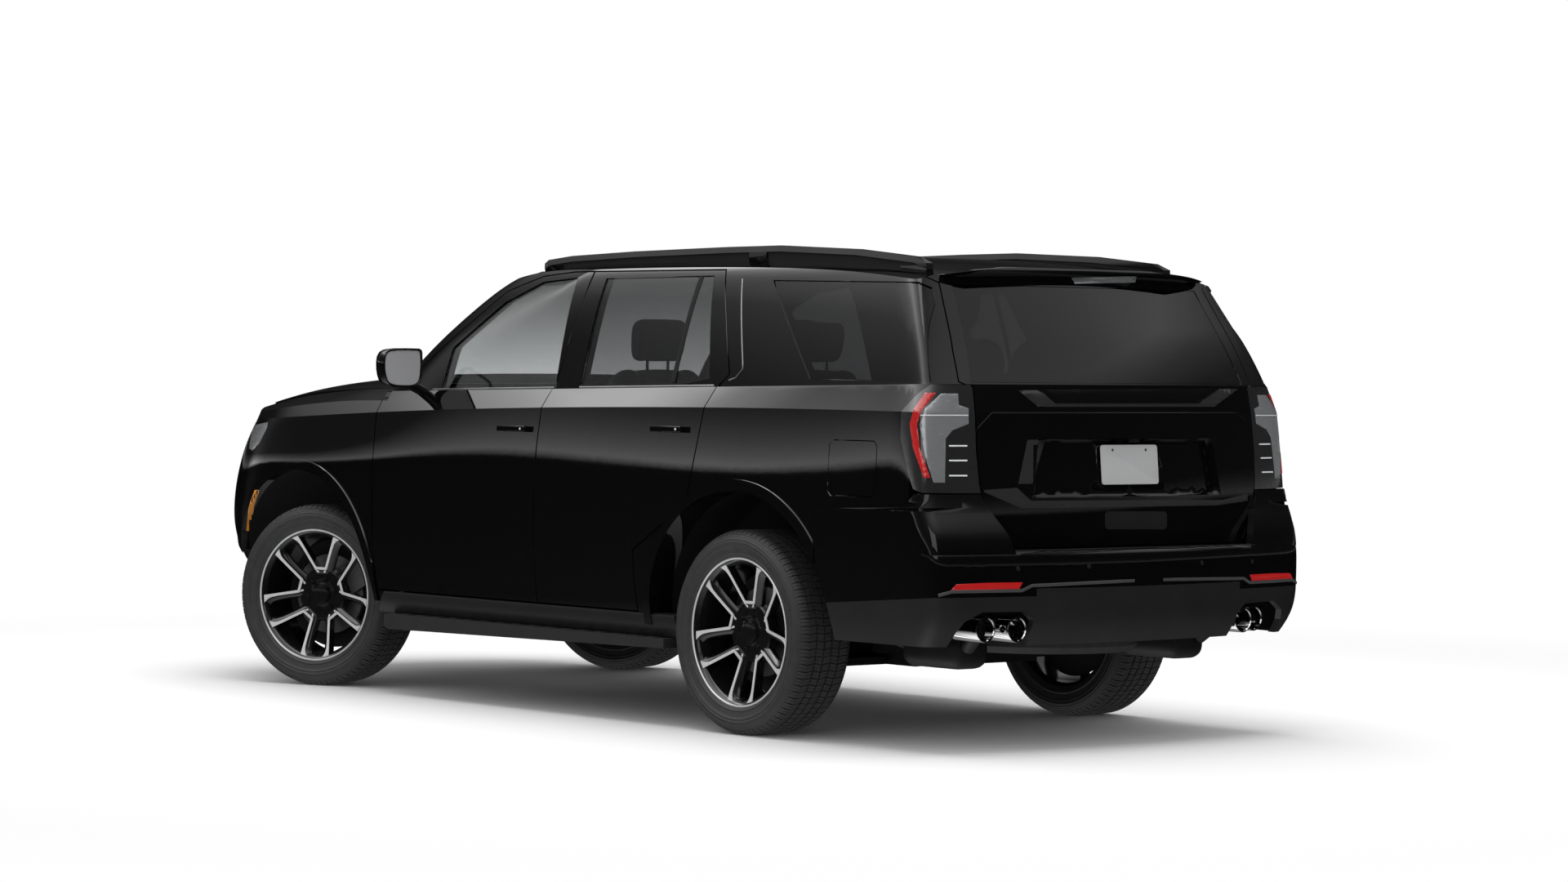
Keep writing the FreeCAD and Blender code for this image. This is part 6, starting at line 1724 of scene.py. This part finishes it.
class DRESS_OT_bumper_details(bpy.types.Operator):
    """Makes the rear bumper's edge line with its painted highlight, sensors and step ribs, and the exhaust with
    its tips
    """
    bl_idname = "dress.bumper_details"
    bl_label = "Rear bumper details"

    def execute(self, context):
        sight = from_camera(["rear_bumper"])
        # The edge where the paint meets the valance: a strip painted lighter grey than the body, a painted
        # highlight for light on its bevel.
        line = tail([(225, 945), (280, 930), (560, 925), (600, 905), (650, 903), (1010, 885)])
        both_sides("valance_line", lambda: strip(line, sight, 5, 0.012, 0.004), "light_trim")
        rear = from_behind(["rear_bumper"])
        parts = []
        for x, y in tail([(545, 838), (828, 828)]):
            centre = sight(x, y)[0]
            ring = [(y / MM, z / MM) for y, z in round_outline(centre.y, centre.z, sizes().sensor, 16)]
            parts += [patch(ring, rear, 5, 0.0012), mirrored(patch(ring, rear, 5, 0.0012))]
        make("parking_sensors", merge(*parts), ["satin_black"], "body")
        bm = bmesh.new()
        start, pitch, width, half, foot, top = -2.658, 0.009, 0.005, 0.6, 0.764, 0.7668
        for number in range(5):
            x = start + number * pitch
            rounded_box(bm, (x, -half, foot), (x + width, half, top), 0.001, 2)
        make("step_ribs", bm, ["rubber"], "body")
        self.tips()
        self.exhaust()
        return {"FINISHED"}

    def exhaust(self):
        """Pipes and rounded mufflers in front of the tips."""
        bm = bmesh.new()
        run = [(1.249, -0.25, 0.43), (-0.96, -0.25, 0.43), (-1.2, -0.35, 0.476), (-1.53, -0.35, 0.476),
               (-1.6, -0.4, 0.45), (-1.6, -0.575, 0.44)]
        self.pipe(bm, run, 0.032)
        self.pipe(bm, [(-1.6, -0.575, 0.44), (-1.6, 0.575, 0.44)], 0.03)
        for side in (-1, 1):
            self.pipe(bm, [(-1.6, side * 0.575, 0.44), (-1.72, side * 0.58, 0.43),
                           (-2.01, side * 0.585, 0.37)], 0.03)
            self.pipe(bm, [(-2.33, side * 0.62, 0.385), (-2.4, side * 0.64, 0.44),
                           (-2.47, side * 0.66, 0.465)], 0.03)
            for near, far, (x0, z0), (x1, z1), radius, segments in (
                    (0.49, 0.675, (-2.33, 0.297), (-1.992, 0.434), 0.052, 5),
                    (0.455, 0.505, (-2.2, 0.425), (-2.16, 0.441), 0.004, 2),
                    (0.61, 0.718, (-2.45, 0.447), (-2.42, 0.487), 0.006, 2)):
                y_low, y_high = sorted((side * near, side * far))
                rounded_box(bm, (x0, y_low, z0), (x1, y_high, z1), radius, segments)
        make("exhaust_pipes", bm, ["exhaust"], "body", ("exhaust_system",))

    def pipe(self, bm, points, radius):
        """A pipe through points."""
        points = [Vector(p) for p in points]
        rings = []
        for i, point in enumerate(points):
            way = (points[min(i + 1, len(points) - 1)] - points[max(i - 1, 0)]).normalized()
            side = way.cross(Vector((0, 0, 1))).normalized()
            up = side.cross(way)
            rings.append([point + (side * math.cos(a) + up * math.sin(a)) * radius for a in turns(24)])
        lofted(bm, rings)

    def tips(self):
        """Chromed exhaust tips with rolled ends."""
        bm = bmesh.new()
        for side in (-1, 1):
            for y, rear in ((607, -2592), (720, -2540)):
                place = Matrix.Translation((rear * MM, side * y * MM, 0.467)) @ Matrix.Rotation(
                    math.pi / 2, 4, "Y")
                place = place @ Matrix.Scale(MM, 4)
                profile = [(50.3, 150), (50.3, 4), (48.5, 0.2), (44, 0.2), (41, 4), (40.5, 130), (45, 130)]
                spun(bm, profile, 64, place, 0)
        make("exhaust_tips", bm, ["chrome"], "body")


class DRESS_OT_front_end(bpy.types.Operator):
    """Makes the headlamps, the grille and the nose's details"""
    bl_idname = "dress.front_end"
    bl_label = "Front end"

    def execute(self, context):
        panel("headlamps", ["body", "shoulder"], "smoke", "smoke", label="housing")
        sight = from_ahead(["headlamps"])
        wrap = [(305, 549), (310, 521), (328, 517), (327, 524), (318, 542), (309, 552)]
        lamp_sight = from_camera(["headlamps", "front_fenders", "front_bumper"])
        both_sides("headlamp_wrap", lambda: patch(wrap, lamp_sight, 3, 0.002), "reflector")
        bars = [[(630, 1140), (900, 1140)], [(630, 1040), (860, 1040)]]
        both_sides("headlamp_bars", lambda: merge(*[strip(b, sight, 20, 0.012, 0.003) for b in bars]),
                   "light_bar")
        cells = [round_outline(640 + 68 * k, 1090, 26, 24) for k in range(3)]
        both_sides("headlamp_cells", lambda: merge(*[patch(cell, sight, 12, 0.004) for cell in cells]),
                   "reflector")

        def slots(polygon):
            """Whether a face of the grille stands in its slots."""
            centre = polygon.center
            within = abs(centre.y) < 0.541 and centre.z < 1.14 and abs(polygon.normal.z) < 0.9
            return ALWAYS_INSIDE if within else 0
        panel("grille", ["grille", "body"], "gloss_black", "satin_black", slots)
        nose = from_ahead(["grille"])
        lines = [[(-540, z), (540, z)] for z in (700, 800, 900, 1000, 1100)]
        make("grille_lines", merge(*[strip(line, nose, 40, 0.006, 0.003) for line in lines]),
             ["satin_bright"], "body")
        bumper = from_ahead(["front_bumper"])
        lower = [(700, 640), (900, 640), (880, 600), (700, 600)]
        both_sides("fog_lamp", lambda: patch(lower, bumper, 20, 0.003), "light_bar")
        return {"FINISHED"}


class DRESS_OT_cabin(bpy.types.Operator):
    """Makes the seats, the dash and the steering wheel"""
    bl_idname = "dress.cabin"
    bl_label = "Cabin"

    def execute(self, context):
        self.seats("front_seats", [(-0.04, 0.5, 0.18, 0.7), (-0.04, 0.5, -0.7, -0.18)])
        rows = []
        for x, floor, low, high in ((-0.85, 0.5, 0.14, 0.66), (-1.74, 0.64, 0.02, 0.62)):
            rows += [(x, floor, low, high), (x, floor, -high, -low)]
        self.seats("rear_seats", rows)
        dress("dashboard", "cabin")
        panel("steering_wheel", [], "leather_black", "leather_black", label="rim")
        return {"FINISHED"}

    def seats(self, node, places):
        """Padded seats in one set."""
        bm = bmesh.new()
        for x, floor, low, high in places:
            self.seat(bm, x, floor, low, high)
        obj = make(f"{node}_pads", bm, ["leather", "cabin"], "body", (node,), sharp=80)
        smooth = obj.modifiers.new("smooth", "SUBSURF")
        smooth.levels = smooth.render_levels = 2

    def seat(self, bm, x, floor, low, high):
        """One seat: base, crowned cushion, bolstered back and headrest."""
        self.pad(bm, [(x - 0.01, floor + 0.1), (x + 0.49, floor + 0.12), (x + 0.508, floor + 0.245),
                      (x + 0.46, floor + 0.262), (x + 0.01, floor + 0.222)], low + 0.008, high - 0.008)
        self.pad(bm, [(x - 0.03, floor + 0.125), (x + 0.05, floor + 0.23), (x - 0.07, floor + 0.885),
                      (x - 0.124, floor + 0.932), (x - 0.188, floor + 0.912), (x - 0.118, floor + 0.262)],
                 low + 0.018, high - 0.018)
        middle = (low + high) / 2
        self.pad(bm, [(x - 0.156, floor + 0.95), (x - 0.11, floor + 0.952), (x - 0.116, floor + 1.12),
                      (x - 0.16, floor + 1.14), (x - 0.194, floor + 1.12)], middle - 0.13, middle + 0.13)
        rounded_box(bm, (x + 0.05, low + 0.07, floor + 0.002), (x + 0.42, high - 0.07, floor + 0.1), 0.01,
                    2, 1)
        for side in (-1, 1):
            rounded_box(bm, (x - 0.148, middle + side * 0.055 - 0.006, floor + 0.88),
                        (x - 0.136, middle + side * 0.055 + 0.006, floor + 0.98), 0.004, 2, 1)

    def pad(self, bm, outline, low, high):
        """A pad from a side outline, crowned across its width and drawn in at its sewn channels."""
        centre = Vector((sum(p[0] for p in outline), sum(p[1] for p in outline))) / len(outline)
        stations = [0.0, 0.02, 0.1, 0.22, 0.25, 0.28, 0.5, 0.72, 0.75, 0.78, 0.9, 0.98, 1.0]
        swell = [0.55, 0.86, 0.99, 1.0, 0.965, 0.99, 1.0, 0.99, 0.965, 1.0, 0.99, 0.86, 0.55]
        rings = []
        for share, size in zip(stations, swell):
            y = low + (high - low) * share
            rings.append([(centre.x + (px - centre.x) * size, y, centre.y + (pz - centre.y) * size)
                          for px, pz in resampled(outline, 0.09, True)])
        lofted(bm, rings)


class DRESS_OT_underbody(bpy.types.Operator):
    """Finishes the frame, engine, suspension, tank, liners and spare wheel"""
    bl_idname = "dress.underbody"
    bl_label = "Underbody"

    def execute(self, context):
        finishes = {
            "chassis": ["ladder_frame", "front_suspension", "rear_suspension"],
            "engine_metal": ["engine_block"],
            "satin_black": ["fuel_tank", "cowl_bulkhead"],
            "cast": ["knuckle_front_left", "knuckle_front_right"],
            "spare_rubber": ["spare_wheel"], "carpet": ["floor_pan"], "underbody": ["wheel_liners"],
        }
        for kind, nodes in finishes.items():
            for node in nodes:
                dress(node, kind)
        return {"FINISHED"}


class DRESS_PT_panel(bpy.types.Panel):
    """Lists the vehicle's pieces and settings"""
    bl_label = "Vehicle"
    bl_idname = "DRESS_PT_panel"
    bl_space_type = "VIEW_3D"
    bl_region_type = "UI"
    bl_category = "Vehicle"

    def draw(self, context):
        for step in STEPS:
            self.layout.operator(step.bl_idname)
        for settings in (context.scene.vehicle_sizes, context.scene.vehicle_colours):
            for name in settings.__annotations__:
                self.layout.prop(settings, name)


STEPS = [DRESS_OT_stage, DRESS_OT_panels, DRESS_OT_glass, DRESS_OT_wheels, DRESS_OT_tail_lamps,
         DRESS_OT_side_trim,
         DRESS_OT_gate_details, DRESS_OT_bumper_details, DRESS_OT_front_end, DRESS_OT_cabin,
         DRESS_OT_underbody]
CLASSES = [VehicleSizes, VehicleColours, DRESS_PT_panel] + STEPS


def register():
    """Adds the classes and the scene's settings."""
    for item in CLASSES:
        bpy.utils.register_class(item)
    bpy.types.Scene.vehicle_sizes = bpy.props.PointerProperty(type=VehicleSizes)
    bpy.types.Scene.vehicle_colours = bpy.props.PointerProperty(type=VehicleColours)


def unregister():
    """Takes the classes and settings away."""
    del bpy.types.Scene.vehicle_sizes
    del bpy.types.Scene.vehicle_colours
    for item in reversed(CLASSES):
        bpy.utils.unregister_class(item)


def main():
    """Dresses the vehicle."""
    register()
    for step in STEPS:
        group, name = step.bl_idname.split(".")
        getattr(getattr(bpy.ops, group), name)()


if __name__ == "__main__":
    main()
